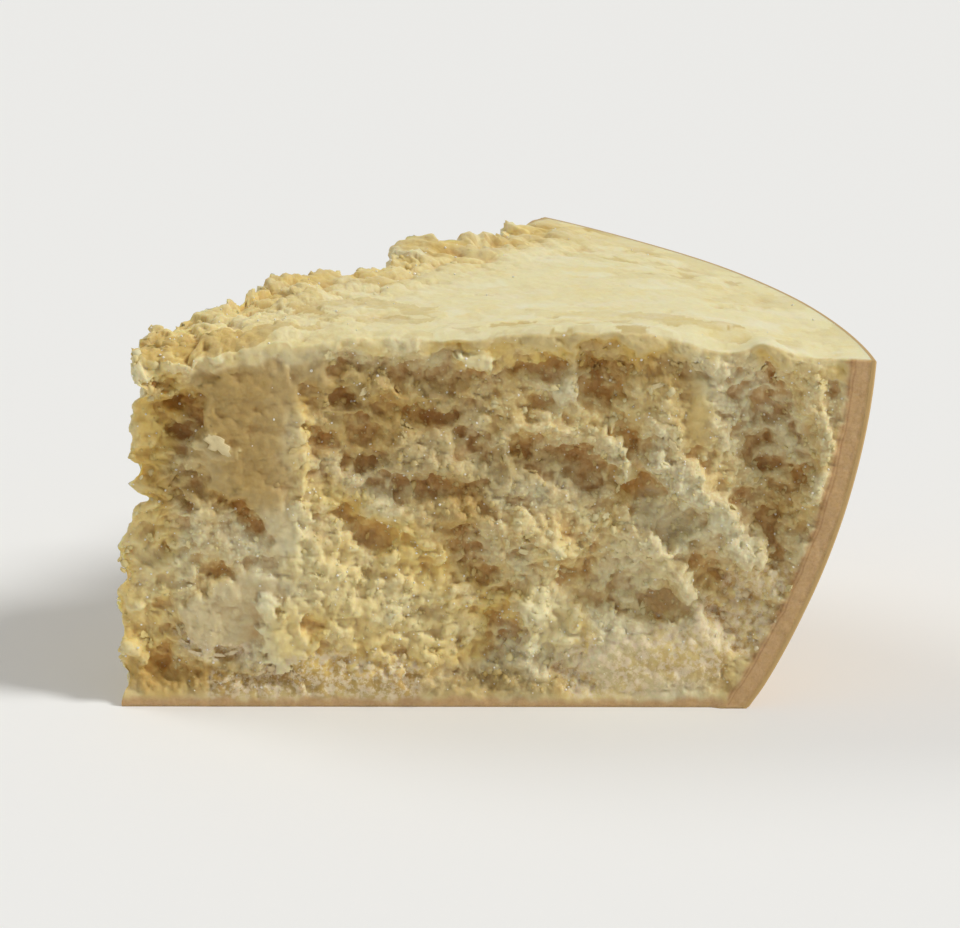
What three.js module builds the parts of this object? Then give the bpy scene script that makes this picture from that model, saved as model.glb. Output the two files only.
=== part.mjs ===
// A rough chunk of aged hard cheese, split from the lower half of a drum-shaped wheel.
//
// It stands on the wheel's flat face. The front, on the -Y side, is a crumbled fracture with a few
// flakes that came away flat, the +X side is the wheel's barrel-shaped rind, and the top is where
// the wheel was split across at half its height. It is one solid, because rind and paste are one
// piece. Millimetres, +Z up, the origin in the middle of the footprint on the surface it stands on.

import * as THREE from "three";
import { mergeVertices } from "three/addons/utils/BufferGeometryUtils.js";

const { clamp, degToRad, lerp, smoothstep } = THREE.MathUtils;

// The wheel.
const WHEEL_RADIUS = 225;
const WHEEL_HEIGHT = 240;
const BARREL_RADIUS = 222;
const RIND_SWELL = 0.5;

// The chunk, in the wheel's own frame: the wheel's axis is at x 0, y 0, and the front lies on y 0.
const WEDGE_ANGLE = degToRad(51.5);
const SPLIT_HEIGHT = 116.5;
const TIP_FRONT = new THREE.Vector2(-2, 1);
const TIP_BACK = new THREE.Vector2(7, 28);
const FOOTPRINT_MIDDLE = new THREE.Vector2(110.4, 87.5);

// How far the split droops below its middle: at the broken tip and along the rind.
const TIP_DROOP = 6;
const TIP_DROOP_REACH = 65;
const RIND_DROOP = 6.4;
const RIND_DROOP_WIDTH = 52;

// How deep the crumbled faces lie behind the flat breaks, and how proud a crag may stand of one.
const FRONT_DEPTH = 3.2;
const BACK_DEPTH = 1.8;
const PROUDEST = -1.5;

// The rind's cut edges, at the side and at the foot, stay flush with the break.
const RIND_BAND = 8;
const BASE_BAND = 3.5;
const BAND_BLEND = 4;

// The front's strip beside the broken tip lies back, under a ledge at its top.
const STRIP_WIDTH = 19;
const STRIP_BLEND = 9;
const STRIP_RETREAT = 4.5;
const LEDGE_HEIGHT = 100;
const LEDGE_BLEND = 6;

// A warp that starts at one face fades out this far inside the chunk, and a stroke this many
// widths away from its line. The rind's slow swells run a few to the wedge.
const WARP_REACH = 30;
const BOWL_REACH = 1.7;
const SWELLS = 5;
const SWELL_HEIGHT = 35;

// How far the split is crumbled, in from the back edge and out from the wheel's axis.
const CRUMBLED_BACK = 50;
const CRUMBLED_TIP = 105;

// Divisions along the radius, round the wheel and up the height.
const ALONG = 56;
const ROUND = 22;
const UP = 30;
const QUAD_CORNERS = 6 * (2 * ROUND * UP + 2 * ALONG * UP + ALONG * ROUND);

// Strokes over the front, one a row: from x, z to x, z, how wide to each side, how deep or proud.
const HOLLOWS = [
  [15, 97, 17, 68, 5, 6],
  [12, 48, 24, 43, 5, 4],
  [34, 60, 44, 47, 4, 5],
  [8, 15, 20, 12, 4, 5],
  [62, 97, 67, 94, 4, 4],
  [57, 84, 70, 85, 5, 6],
  [76, 92, 98, 92, 4, 4],
  [82, 103, 97, 105, 4, 4],
  [66, 76, 76, 76, 3, 4],
  [74, 68, 104, 68, 4, 5],
  [66, 60, 74, 54, 5, 6],
  [100, 50, 107, 42, 6, 7],
  [102, 85, 108, 74, 5, 5],
  [113, 34, 112, 20, 6, 6],
  [116, 104, 128, 104, 4, 5],
  [142, 110, 141, 99, 7, 9],
  [122, 95, 132, 93, 4, 5],
  [120, 79, 138, 74, 6, 6],
  [150, 90, 153, 84, 4, 4],
  [150, 71, 168, 55, 5, 7],
  [192, 94, 196, 74, 9, 9],
  [181, 106, 183, 99, 3, 5],
  [172, 46, 184, 38, 7, 6],
  [186, 68, 198, 48, 4, 5],
  [140, 42, 160, 34, 8, 4],
  [178, 34, 183, 24, 5, 4],
];
const RIDGES = [
  [118, 31, 136, 23, 7, 4],
  [143, 82, 151, 63, 4, 4],
  [160, 76, 178, 63, 5, 6],
  [181, 58, 190, 49, 4, 5],
  [158, 52, 168, 42, 5, 4],
  [168, 40, 176, 24, 4, 4],
  [206, 106, 209, 68, 4, 4],
  [196, 113, 203, 104, 5, 4],
  [42, 33, 49, 20, 7, 3],
  [112, 56, 130, 50, 5, 3],
];
const FLATS = [
  [35, 104, 36, 83, 16],
  [38, 74, 45, 56, 7],
  [34, 112, 90, 113, 6],
  [29, 26, 29, 26, 11],
  [60, 9, 72, 8, 7],
  [148, 14, 172, 14, 13],
  [190, 10, 196, 20, 7],
];

// Dips and rises along the split's front edge, as above but from x, y to x, y.
const TOP_DIPS = [
  [177, -4, 180, 8, 8, 2.5],
  [208, -4, 214, 4, 6, 2],
];
const TOP_RISES = [
  [124, -4, 150, 4, 13, 2.5],
  [191, -4, 192, 4, 5, 1.5],
];

// Notches in the broken tip, from y, z to y, z.
const TIP_NOTCHES = [
  [0, 98, 12, 97, 3, 4],
  [0, 73, 10, 73, 3, 5],
  [0, 64, 12, 64, 3, 6],
];

// Bays and buttresses down the back, from distance past the tip and z to the same.
const BACK_BAYS = [
  [24, 118, 30, 60, 12, 3],
  [103, 118, 98, 40, 12, 5],
  [152, 118, 146, 20, 13, 6],
  [60, 50, 80, 20, 12, 6],
];
const BACK_BUTTRESSES = [
  [68, 118, 62, 66, 11, 6],
  [127, 118, 121, 10, 11, 6],
  [183, 118, 180, 60, 11, 7],
  [28, 40, 36, 8, 12, 5],
];

// A number from 0 to 1 that is always the same for the same whole numbers.
function scatter(i, j, seed) {
  let h = Math.imul(i, 374761393) ^ Math.imul(j, 668265263) ^ Math.imul(seed, 1440662683);
  h = Math.imul(h ^ (h >>> 13), 1274126177);
  return ((h ^ (h >>> 16)) >>> 0) / 4294967296;
}

// Smooth noise from -1 to 1 with a period of about one unit.
function noise(a, b, seed) {
  const i = Math.floor(a);
  const j = Math.floor(b);
  const s = smoothstep(a - i, 0, 1);
  const t = smoothstep(b - j, 0, 1);
  const near = lerp(scatter(i, j, seed), scatter(i + 1, j, seed), s);
  const far = lerp(scatter(i, j + 1, seed), scatter(i + 1, j + 1, seed), s);
  return 2 * lerp(near, far, t) - 1;
}

// 1 at a face, falling smoothly to 0 at the reach.
function fade(distance, reach) {
  return 1 - smoothstep(distance, 0, reach);
}

// How far a place is from a stroke, in strokes' widths: 0 on its line and 1 at its side.
function strokeDistance(a, b, [a0, b0, a1, b1, width]) {
  const lengthSquared = (a1 - a0) ** 2 + (b1 - b0) ** 2;
  const along = lengthSquared ? ((a - a0) * (a1 - a0) + (b - b0) * (b1 - b0)) / lengthSquared : 0;
  const t = clamp(along, 0, 1);
  return Math.hypot(a - lerp(a0, a1, t), b - lerp(b0, b1, t)) / width;
}

// The strokes' deepest bowl at a place.
function bowls(a, b, strokes) {
  const depths = strokes.map((stroke) => stroke[5] * fade(strokeDistance(a, b, stroke), BOWL_REACH));
  return Math.max(0, ...depths);
}

// The lumps that every crumbled face has, as a depth about 0.
function lumps(a, b, seed) {
  return 2.4 * noise(a / 18, b / 15, seed) + 1.7 * noise(a / 9, b / 8, seed + 1);
}

// The radius of the wheel at a height over its flat face.
function rindRadius(z) {
  return WHEEL_RADIUS - BARREL_RADIUS + Math.sqrt(BARREL_RADIUS ** 2 - (WHEEL_HEIGHT / 2 - z) ** 2);
}

// The height of the split across the wheel.
function topHeight(x, y) {
  const r = Math.hypot(x, y);
  const turn = clamp(Math.atan2(y, x) / WEDGE_ANGLE, 0, 1);
  const tip = TIP_DROOP * fade(r, TIP_DROOP_REACH);
  const nearRind = smoothstep(r - WHEEL_RADIUS, -RIND_DROOP_WIDTH, 0);
  return SPLIT_HEIGHT - tip - RIND_DROOP * (1 - turn ** 1.5) * nearRind;
}

// A place in the plan at a height: u runs from the tip to the rind and v from front to back.
function planPlace(u, v, z) {
  const r = rindRadius(z);
  const rim = new THREE.Vector2(r * Math.cos(v * WEDGE_ANGLE), r * Math.sin(v * WEDGE_ANGLE));
  return TIP_FRONT.clone().lerp(TIP_BACK, v).lerp(rim, u);
}

// How deep the front lies behind y 0. The strokes' sides wander a little.
function frontDepth(x, z) {
  const a = x + 1.5 * noise(x / 6, z / 6, 21);
  const b = z + 1.5 * noise(x / 6, z / 6, 22);
  const flat = Math.max(...FLATS.map((stroke) => 1 - smoothstep(strokeDistance(a, b, stroke), 0.85, 1.1)));
  const overFoot = smoothstep(z, BASE_BAND, BASE_BAND + BAND_BLEND);
  const inRind = smoothstep(x - rindRadius(z), -RIND_BAND - BAND_BLEND, -RIND_BAND);
  const crumble = FRONT_DEPTH + lumps(x, z, 1) + bowls(a, b, HOLLOWS) - bowls(a, b, RIDGES);
  const underLedge = 1 - smoothstep(z, LEDGE_HEIGHT - LEDGE_BLEND, LEDGE_HEIGHT);
  const inStrip = 1 - smoothstep(x, STRIP_WIDTH - STRIP_BLEND, STRIP_WIDTH);
  const open = 1 - Math.max(flat, inRind, 1 - overFoot);
  return Math.max(PROUDEST, crumble * open) + STRIP_RETREAT * inStrip * underLedge * overFoot;
}

// How deep the split across the wheel lies: nearly smooth, and crumbled at its back edge and tip.
function topDepth(x, y, backDistance) {
  const crumbled = Math.max(fade(backDistance, CRUMBLED_BACK), fade(Math.hypot(x, y), CRUMBLED_TIP));
  const swells = 0.8 * noise(x / 40, y / 30, 31) + 0.4 * noise(x / 14, y / 12, 32);
  return swells + bowls(x, y, TOP_DIPS) - bowls(x, y, TOP_RISES) + crumbled * lumps(x, y, 33);
}

// How deep the hidden back lies behind its own flat break.
function backDepth(along, z) {
  const forms = bowls(along, z, BACK_BAYS) - bowls(along, z, BACK_BUTTRESSES);
  return BACK_DEPTH + 1.2 * lumps(along, z, 41) + forms;
}

// How deep the broken tip lies behind its own flat break.
function tipDepth(y, z) {
  const underLedge = 1 - smoothstep(z, LEDGE_HEIGHT, LEDGE_HEIGHT + LEDGE_BLEND);
  return underLedge * (0.8 * lumps(y, z, 51) + bowls(y, z, TIP_NOTCHES));
}

// Moves a place of the smooth wedge to where the broken one has it.
function breakUp(p) {
  const turn = Math.atan2(p.y, p.x);
  const radius = rindRadius(p.z);
  const backEnd = new THREE.Vector2(radius * Math.cos(WEDGE_ANGLE), radius * Math.sin(WEDGE_ANGLE));
  const backWay = backEnd.sub(TIP_BACK).normalize();
  const fromTip = new THREE.Vector2(p.x, p.y).sub(TIP_BACK);
  const fromBack = Math.max(0, fromTip.cross(backWay));
  const fromRind = radius - Math.hypot(p.x, p.y);
  const overFoot = smoothstep(p.z, 1, BASE_BAND + BAND_BLEND);
  const offRind = smoothstep(fromRind, RIND_BAND, RIND_BAND + BAND_BLEND);

  const front = frontDepth(p.x, p.z) * fade(Math.max(0, p.y), WARP_REACH);
  const back = overFoot * offRind * backDepth(fromTip.dot(backWay), p.z) * fade(fromBack, WARP_REACH);
  const tip = overFoot * tipDepth(p.y, p.z) * fade(Math.max(0, p.x - TIP_FRONT.x - 4), WARP_REACH);
  const top = offRind * topDepth(p.x, p.y, fromBack) * fade(SPLIT_HEIGHT - p.z, WARP_REACH);
  const swells = RIND_SWELL * noise((SWELLS * turn) / WEDGE_ANGLE, p.z / SWELL_HEIGHT, 61);
  const swell = overFoot * swells * fade(fromRind, WARP_REACH);

  p.x += tip + back * backWay.y + swell * Math.cos(turn);
  p.y += front - back * backWay.x + swell * Math.sin(turn);
  p.z -= top;
}

// Splits each of a box's quads across its shorter diagonal, so that no crag runs into saw teeth.
function splitShort(box) {
  const places = box.getAttribute("position");
  const place = (i) => new THREE.Vector3().fromBufferAttribute(places, i);
  const index = Array.from(box.index.array);
  for (let n = 0; n < QUAD_CORNERS; n += 6) {
    const [a, b, d, , c] = index.slice(n, n + 6);
    if (place(a).distanceTo(place(c)) < place(b).distanceTo(place(d))) index.splice(n, 6, a, b, c, a, c, d);
  }
  box.setIndex(index);
}

// Takes the grid off a box's underside and closes it with a fan of triangles.
function fanUnderside(box) {
  const underside = box.groups[5];
  const corners = (ALONG + 1) * (ROUND + 1);
  const first = box.getAttribute("position").count - corners;
  const loop = [];
  for (let i = 0; i < ALONG; i++) loop.push(first + i);
  for (let j = 0; j < ROUND; j++) loop.push(first + ALONG + j * (ALONG + 1));
  for (let i = ALONG; i > 0; i--) loop.push(first + corners - 1 - ALONG + i);
  for (let j = ROUND; j > 0; j--) loop.push(first + j * (ALONG + 1));
  const middle = first + Math.round(ROUND / 2) * (ALONG + 1) + Math.round(ALONG / 2);
  const index = Array.from(box.index.array.slice(0, underside.start));
  loop.forEach((corner, n) => index.push(middle, loop[(n + 1) % loop.length], corner));
  box.setIndex(index);
  box.clearGroups();
}

function chunkGeometry() {
  const box = new THREE.BoxGeometry(1, 1, 1, ALONG, ROUND, UP);
  box.deleteAttribute("normal");
  box.deleteAttribute("uv");
  fanUnderside(box);
  const places = box.getAttribute("position");
  const p = new THREE.Vector3();
  for (let n = 0; n < places.count; n++) {
    const [u, v, w] = p.fromBufferAttribute(places, n).addScalar(0.5).toArray();
    const rough = planPlace(u, v, w * SPLIT_HEIGHT);
    const z = w * topHeight(rough.x, rough.y);
    const plan = planPlace(u, v, z);
    p.set(plan.x, plan.y, z);
    breakUp(p);
    places.setXYZ(n, p.x - FOOTPRINT_MIDDLE.x, p.y - FOOTPRINT_MIDDLE.y, w === 0 ? 0 : p.z);
  }
  splitShort(box);
  const closed = mergeVertices(box, 1e-3);
  closed.computeVertexNormals();
  return closed;
}

const paste = new THREE.MeshStandardMaterial({ color: 0xe0cf98, roughness: 0.62, metalness: 0 });

const chunk = new THREE.Mesh(chunkGeometry(), paste);
chunk.name = "cheese_chunk";

const cheese = new THREE.Group();
cheese.add(chunk);

export default cheese;
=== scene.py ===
"""Looks of a rough chunk of aged hard cheese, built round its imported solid.

Lengths are millimetres in the wheel's own frame: the wheel's axis stands at x 0, y 0, the chunk's
front break lies on y 0, and the wheel's flat face on z 0. Meshes are metres in the part's frame.
"""

import itertools
import logging
import math
from collections.abc import Iterable, Sequence
from dataclasses import dataclass, replace
from enum import Enum
from typing import Any

import bmesh
import bpy
import numpy as np
from mathutils import Matrix, Vector


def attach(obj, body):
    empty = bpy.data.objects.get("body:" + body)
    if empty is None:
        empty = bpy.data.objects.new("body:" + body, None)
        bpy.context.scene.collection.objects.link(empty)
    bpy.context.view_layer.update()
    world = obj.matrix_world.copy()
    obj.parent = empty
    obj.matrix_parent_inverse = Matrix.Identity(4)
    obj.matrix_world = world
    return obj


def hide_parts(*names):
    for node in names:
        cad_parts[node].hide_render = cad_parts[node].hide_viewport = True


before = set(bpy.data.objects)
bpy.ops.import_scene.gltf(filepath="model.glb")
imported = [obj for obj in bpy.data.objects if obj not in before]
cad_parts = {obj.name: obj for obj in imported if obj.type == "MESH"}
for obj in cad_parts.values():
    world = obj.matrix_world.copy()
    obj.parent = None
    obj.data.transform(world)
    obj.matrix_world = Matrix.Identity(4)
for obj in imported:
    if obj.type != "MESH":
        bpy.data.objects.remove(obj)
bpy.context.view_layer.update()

NODE = "cheese_chunk"
BODY = "root"
METRES = 0.001
FOOTPRINT_MIDDLE = (110.4, 87.5)
FLOOR_GAP = 0.05

Array = np.ndarray
Socket = bpy.types.NodeSocket
Colour = tuple[float, float, float, float]
Layers = tuple[tuple[float, ...], ...]

log = logging.getLogger("cheese")


class Side(Enum):
    """The six sides of the box that the chunk is shaped from, each its axis and its place on it."""

    TIP = (0, 0.0)
    RIND = (0, 1.0)
    FRONT = (1, 0.0)
    BACK = (1, 1.0)
    BASE = (2, 0.0)
    TOP = (2, 1.0)

    def holds(self, unit: Array) -> Array:
        """Tells which of the box's places lie on this side.

        Args:
            unit: One row of three numbers from 0 to 1 for each place.

        Returns:
            True for each place on the side.
        """
        axis, place = self.value
        return np.abs(unit[..., axis] - place) < 1e-5


@dataclass(frozen=True)
class Stroke:
    """A straight stroke over a face: a pit, a ridge or a place that broke off flat."""

    start: tuple[float, float]
    end: tuple[float, float]
    width: float
    depth: float = 0.0
    soft: float = 0.2

    def distance(self, a: Array, b: Array) -> Array:
        """Measures how far places are from the stroke.

        Args:
            a: The places' first coordinate.
            b: The places' second coordinate.

        Returns:
            0 on the stroke's line and 1 at its side.
        """
        start, way = np.array(self.start), np.subtract(self.end, self.start)
        length_squared = float(way @ way)
        along = (a - start[0]) * way[0] + (b - start[1]) * way[1]
        t = np.clip(along / length_squared, 0, 1) if length_squared else np.zeros_like(a)
        return np.hypot(a - start[0] - t * way[0], b - start[1] - t * way[1]) / self.width

    def share(self, a: Array, b: Array, inner: float, outer: float) -> Array:
        """Gives 1 up to the inner distance from the stroke and 0 from the outer one."""
        return 1 - rise(self.distance(a, b), inner, outer)


def strokes(rows: Iterable[Sequence[float]]) -> tuple[Stroke, ...]:
    """Makes strokes from rows of from a, b, to a, b, width, depth and softness.

    Args:
        rows: One row for each stroke; the last two numbers may be left out.

    Returns:
        The strokes.
    """
    return tuple(Stroke((r[0], r[1]), (r[2], r[3]), *r[4:]) for r in rows)


# The front's forms, from x, z to x, z.
FRONT_HOLLOWS = strokes([
    (14, 95, 16, 91, 3.6, 4.5), (15, 85, 17, 82, 3.4, 4), (17, 72, 19, 66, 4, 4.5),
    (13, 49, 26, 43, 3, 2.2), (33, 62, 47, 47, 2.4, 3), (9, 13, 21, 9, 3, 2.5),
    (62, 97, 67, 94, 4, 4), (57, 84, 70, 85, 5, 6), (76, 92, 98, 92, 4, 4), (82, 103, 97, 105, 4, 4),
    (66, 76, 76, 76, 3, 4), (74, 68, 104, 68, 4, 5), (66, 60, 74, 54, 5, 6), (100, 50, 107, 42, 6, 7),
    (102, 85, 108, 74, 5, 5), (113, 34, 112, 20, 6, 6), (116, 104, 128, 104, 4, 5),
    (142, 106, 141, 99, 6.5, 8.5), (122, 95, 132, 93, 4, 5), (120, 79, 138, 74, 6, 6),
    (150, 90, 153, 84, 4, 4), (150, 71, 168, 55, 5, 7), (192, 94, 196, 74, 11, 8),
    (181, 106, 183, 99, 3.5, 3), (172, 46, 184, 38, 7, 6), (186, 68, 198, 48, 4, 5),
    (140, 42, 160, 34, 8, 4), (178, 34, 183, 24, 5, 4),
])
FRONT_RIDGES = strokes([
    (118, 31, 136, 23, 7, 4), (143, 82, 151, 63, 4, 4), (160, 76, 178, 63, 5, 6),
    (181, 58, 190, 49, 4, 5), (158, 52, 168, 42, 5, 4), (168, 40, 176, 24, 4, 4),
    (206, 106, 209, 68, 4, 4), (196, 113, 203, 104, 5, 4), (42, 33, 49, 20, 7, 3),
    (112, 56, 130, 50, 5, 3),
])
FRONT_PATCHES = strokes([
    (33, 108, 34, 88, 14, 0.8, 0.2), (50, 112, 54, 106, 9, 1.4, 0.8), (42, 100, 40, 74, 12, 1.4, 0.6),
    (31, 76, 36, 74, 10, 0.3, 0.2), (41, 70, 46, 50, 6, 1.4, 0.5), (27, 26, 30, 26, 10, 2.2, 0.15),
    (28, 37, 46, 38, 5, 1.6, 0.7),
])
FRONT_SHEETS = strokes([
    (60, 9, 72, 8, 7, 1, 0.9), (148, 14, 172, 14, 13, 0.8, 0.8), (190, 10, 196, 20, 7, 1, 0.9),
    (170, 104, 172, 86, 5, 1.6, 0.8),
])
FRONT_SHARDS = strokes([
    (22, 84, 28, 81, 2.8, -0.6), (42, 33, 42.5, 26, 3, -1.1), (50.5, 32, 51, 22, 2.6, -1.0),
    (44, 20, 48, 16, 5, -0.8), (101, 109.5, 107, 108, 2.4, 0.2), (24, 112, 27, 110, 2, -0.6),
])
FRONT_FLATS = FRONT_PATCHES + FRONT_SHEETS
TOP_DIPS = strokes([(177, -4, 180, 8, 8, 2.5), (205, -4, 208, 3, 5, 1)])
TOP_RISES = strokes([(124, -4, 150, 4, 13, 2.5), (191, -4, 192, 4, 5, 1.5)])
TIP_NOTCHES = strokes([(0, 98, 12, 97, 3, 4), (0, 73, 10, 73, 3, 5), (0, 64, 12, 64, 3, 6)])
BACK_BAYS = strokes([
    (24, 118, 30, 60, 12, 3), (103, 118, 98, 40, 12, 5), (152, 118, 146, 20, 13, 6),
    (60, 50, 80, 20, 12, 6),
])
BACK_BUTTRESSES = strokes([
    (68, 118, 62, 66, 11, 6), (127, 118, 121, 10, 11, 6), (183, 118, 180, 60, 11, 7),
    (28, 40, 36, 8, 12, 5),
])

# Finer pits of the front, from x, z to x, z, and of the top, from x, y to x, y. The front's are worn
# wider and shallower than they are listed.
PIT_WIDENING = 1.25
PIT_SHARE = 0.4
PITS_AS_BROKEN = strokes([
    (60, 107, 66, 108, 2.2, 4), (91, 113, 98, 112, 3, 5), (20, 43, 26, 42, 3, 3), (6, 55, 13, 56, 2.6, 4),
    (128, 105, 131, 104, 2.6, 4), (146, 97, 156, 97, 2.4, 3), (150, 72, 154, 71, 2.2, 3),
    (140, 67, 146, 66, 2.6, 3), (171, 58, 177, 56, 2.2, 3), (196, 105, 200, 103, 3.4, 5),
    (203, 57, 206, 56, 2.6, 3), (195, 46, 199, 45, 2.4, 3), (131, 9, 138, 9, 2.6, 4),
    (110, 26, 114, 24, 2.6, 3), (90, 92, 97, 90, 2.6, 3), (84, 60, 96, 59, 2.4, 2.5),
    (80, 44, 90, 42, 2.4, 2.5), (62, 38, 70, 36, 2.4, 2.5), (84, 28, 94, 30, 2.4, 2.5),
    (18, 6, 26, 6, 2.2, 3), (40, 44, 50, 42, 2.4, 3), (120, 64, 130, 62, 2.6, 3),
    (104, 104, 110, 100, 2.6, 3.5), (162, 34, 170, 30, 2.4, 2.5), (205, 84, 208, 76, 2.2, 2.5),
])
FRONT_PITS = tuple(
    replace(pit, width=PIT_WIDENING * pit.width, depth=PIT_SHARE * pit.depth) for pit in PITS_AS_BROKEN
)
TOP_PITS = strokes([
    (182, 51, 187, 53, 1.8, 1.4), (163, 36, 165, 37, 1.2, 0.9), (145, 128, 149, 130, 2.2, 1.3),
    (136, 35, 139, 35, 1.4, 0.9), (176, 96, 178, 99, 1.4, 0.8), (196, 62, 199, 72, 3, 0.8),
])

# Where thin pale flakes lie on the top, from x, y to x, y.
TOP_PALE = strokes([
    (152, 131, 161, 133, 3, 0.9), (160, 72, 169, 74, 3, 0.8), (184, 91, 189, 94, 3, 0.9),
    (120, 40, 132, 46, 3, 0.6), (96, 30, 100, 34, 3, 0.6), (140, 90, 150, 88, 3.5, 0.6),
    (172, 118, 176, 116, 3, 0.7), (192, 30, 197, 34, 4, 0.5), (108, 70, 116, 76, 3, 0.6),
])

# Finer crests of the front, from x, z to x, z.
FRONT_CRESTS = strokes([
    (51, 92, 51, 54, 2.4, 2.4), (40, 14, 42, 32, 3, 1.5), (48, 14, 50, 33, 3, 1.8), (119, 33, 121, 20, 3, 3),
    (141, 92, 146, 78, 2.4, 2.5), (178, 88, 190, 70, 3, 2), (186, 92, 202, 84, 2.2, 1.4),
    (201, 83, 211, 66, 2.4, 2), (176, 111, 177, 84, 2, 2), (60, 70, 100, 74, 2.2, 1.5),
    (70, 98, 92, 98, 3, 2), (108, 92, 122, 86, 3, 2), (98, 62, 118, 58, 3, 2), (4, 104, 15, 108, 5, 4),
])

# The large flakes of the front: x, z, length, width, turn in degrees, how far the edges curl up and
# the middle stands out, and how far the flake faces right and up.
LARGE_FLAKES = (
    (15.5, 23, 4.5, 1.1, -70, 0.3, 0.9, -0.2, 0.0), (17.5, 19, 4.5, 1.1, -45, 0.3, 0.9, -0.1, -0.2),
    (21, 16.6, 5.5, 1.2, -18, 0.3, 0.9, 0.0, -0.2), (26, 15.8, 5.5, 1.2, 0, 0.3, 0.8, 0.0, -0.2),
    (31, 16.4, 4, 1.1, 20, 0.3, 0.8, 0.0, -0.2), (170, 107.5, 4, 2, -35, 0.3, 0.7, 0.0, 0.1),
    (25.5, 83.5, 9, 4.5, -32, 0.1, 0.7, 0.0, 0.15), (158, 101, 4.5, 1.6, 20, 0.2, 0.6, 0.0, 0.1),
    (164, 83, 5, 1.8, -50, 0.2, 0.6, 0.1, 0.0), (190, 70, 4, 1.6, 40, 0.2, 0.5, 0.0, 0.1),
    (70, 99, 4, 1.6, 40, 0.3, 0.6, 0.0, 0.0),
)
NAMED_FLAKE_LOOK = {"golden": 0.0, "hollow": 0.0, "flat": 0.75, "own": 0.8, "tone": 0.0}

# Where the front is painted paler or darker over a broad stretch, the last number saying how much: mostly
# painted light and shade that follow its broad relief, in part the paste's own tone.
FRONT_PAINTED_LIGHT_AND_TONES = strokes([
    (24, 92, 36, 80, 22, -0.75), (36, 104, 100, 100, 16, -0.5), (66, 84, 100, 72, 22, -0.5),
    (30, 66, 46, 62, 12, -0.3), (102, 58, 106, 36, 12, -0.35), (120, 78, 140, 72, 12, -0.5),
    (136, 106, 160, 108, 10, -0.5), (190, 82, 194, 56, 14, -0.4), (4, 72, 16, 66, 10, -0.5),
    (2, 50, 10, 40, 12, 0.5), (52, 44, 92, 26, 22, 0.5), (126, 30, 130, 18, 12, 0.9),
    (150, 42, 166, 30, 18, 0.4), (150, 14, 176, 14, 14, -0.45), (182, 46, 190, 40, 10, 0.3),
    (14, 24, 40, 26, 14, -0.1), (50, 90, 52, 50, 5, 0.5), (0, 8, 130, 7, 8, -0.65),
    (168, 102, 172, 86, 8, -0.4), (2, 104, 14, 107, 8, 0.6), (158, 62, 170, 54, 8, 0.8),
    (186, 24, 198, 20, 9, 0.05),
])

# Where white frost and golden crumb lie on the front.
FROST = strokes([
    (30, 5, 50, 8, 6), (54, 10, 82, 8, 9), (178, 26, 200, 22, 9), (186, 36, 196, 40, 5),
    (15, 22, 24, 17, 2), (22, 17, 36, 16, 2.4), (140, 12, 172, 16, 12),
])
GOLDEN = strokes([
    (0, 20, 4, 100, 14), (58, 55, 100, 30, 17), (54, 22, 100, 24, 14), (104, 112, 150, 113, 8),
    (50, 95, 51, 50, 4), (120, 30, 134, 22, 8),
])


def smooth(t: Array) -> Array:
    """Eases a number from 0 to 1, and holds it there outside them."""
    t = np.clip(t, 0, 1)
    return t * t * (3 - 2 * t)


def rise(x: Array, low: float, high: float) -> Array:
    """Rises smoothly from 0 at low to 1 at high."""
    return smooth((x - low) / (high - low))


def fade(distance: Array, reach: float) -> Array:
    """Falls smoothly from 1 at a distance of 0 to 0 at the reach."""
    return 1 - smooth(distance / reach)


HASH_FACTORS = (374761393, 668265263, 2246822519)
SEED_FACTOR = 1440662683
MIX_FACTOR = 1274126177


def scatter(seed: int, *cells: Array) -> Array:
    """Gives a number from 0 to 1 that is always the same for the same whole numbers.

    Args:
        seed: Picks one of many such scatters.
        cells: The whole numbers, as up to three arrays.

    Returns:
        One number for each place.
    """
    h = np.uint32(seed * SEED_FACTOR & 0xFFFFFFFF)
    for cell, factor in zip(cells, HASH_FACTORS):
        h = h ^ (cell.astype(np.int64).astype(np.uint32) * np.uint32(factor))
    h = (h ^ (h >> np.uint32(13))) * np.uint32(MIX_FACTOR)
    return (h ^ (h >> np.uint32(16))) / 2.0**32


def noise(seed: int, *places: Array) -> Array:
    """Gives smooth noise from -1 to 1 with a period of about one unit.

    Args:
        seed: Picks one of many such noises.
        places: The places, as two or three arrays.

    Returns:
        The noise at each place.
    """
    floors = [np.floor(p) for p in places]
    parts = [smooth(p - f) for p, f in zip(places, floors)]
    total = np.zeros_like(places[0], dtype=float)
    for corner in itertools.product((0, 1), repeat=len(places)):
        weight = np.prod([part if bit else 1 - part for part, bit in zip(parts, corner)], axis=0)
        total += weight * scatter(seed, *(f + bit for f, bit in zip(floors, corner)))
    return 2 * total - 1


def shifted(start: Any, seed: int, layers: Layers, *places: Array, step: int = 1) -> Array:
    """Adds layers of noise to a number.

    Args:
        start: The number, or one for each place.
        seed: The first layer's noise.
        layers: Each layer's height, and its length along each of the places' coordinates.
        places: The places, as two or three arrays.
        step: How far apart the layers' seeds lie.

    Returns:
        The shifted number at each place.
    """
    for n, (height, *lengths) in enumerate(layers):
        start = start + height * noise(seed + step * n, *(p / length for p, length in zip(places, lengths)))
    return start


def kernels(seed: int, cells: Array) -> Array:
    """Places one kernel in each cell of a unit grid.

    Args:
        seed: Picks one of many such scatters.
        cells: One row of two or three whole numbers for each cell.

    Returns:
        The kernels' places.
    """
    return np.stack([c + scatter(seed + n, *cells.T) for n, c in enumerate(cells.T)], axis=1)


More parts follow.
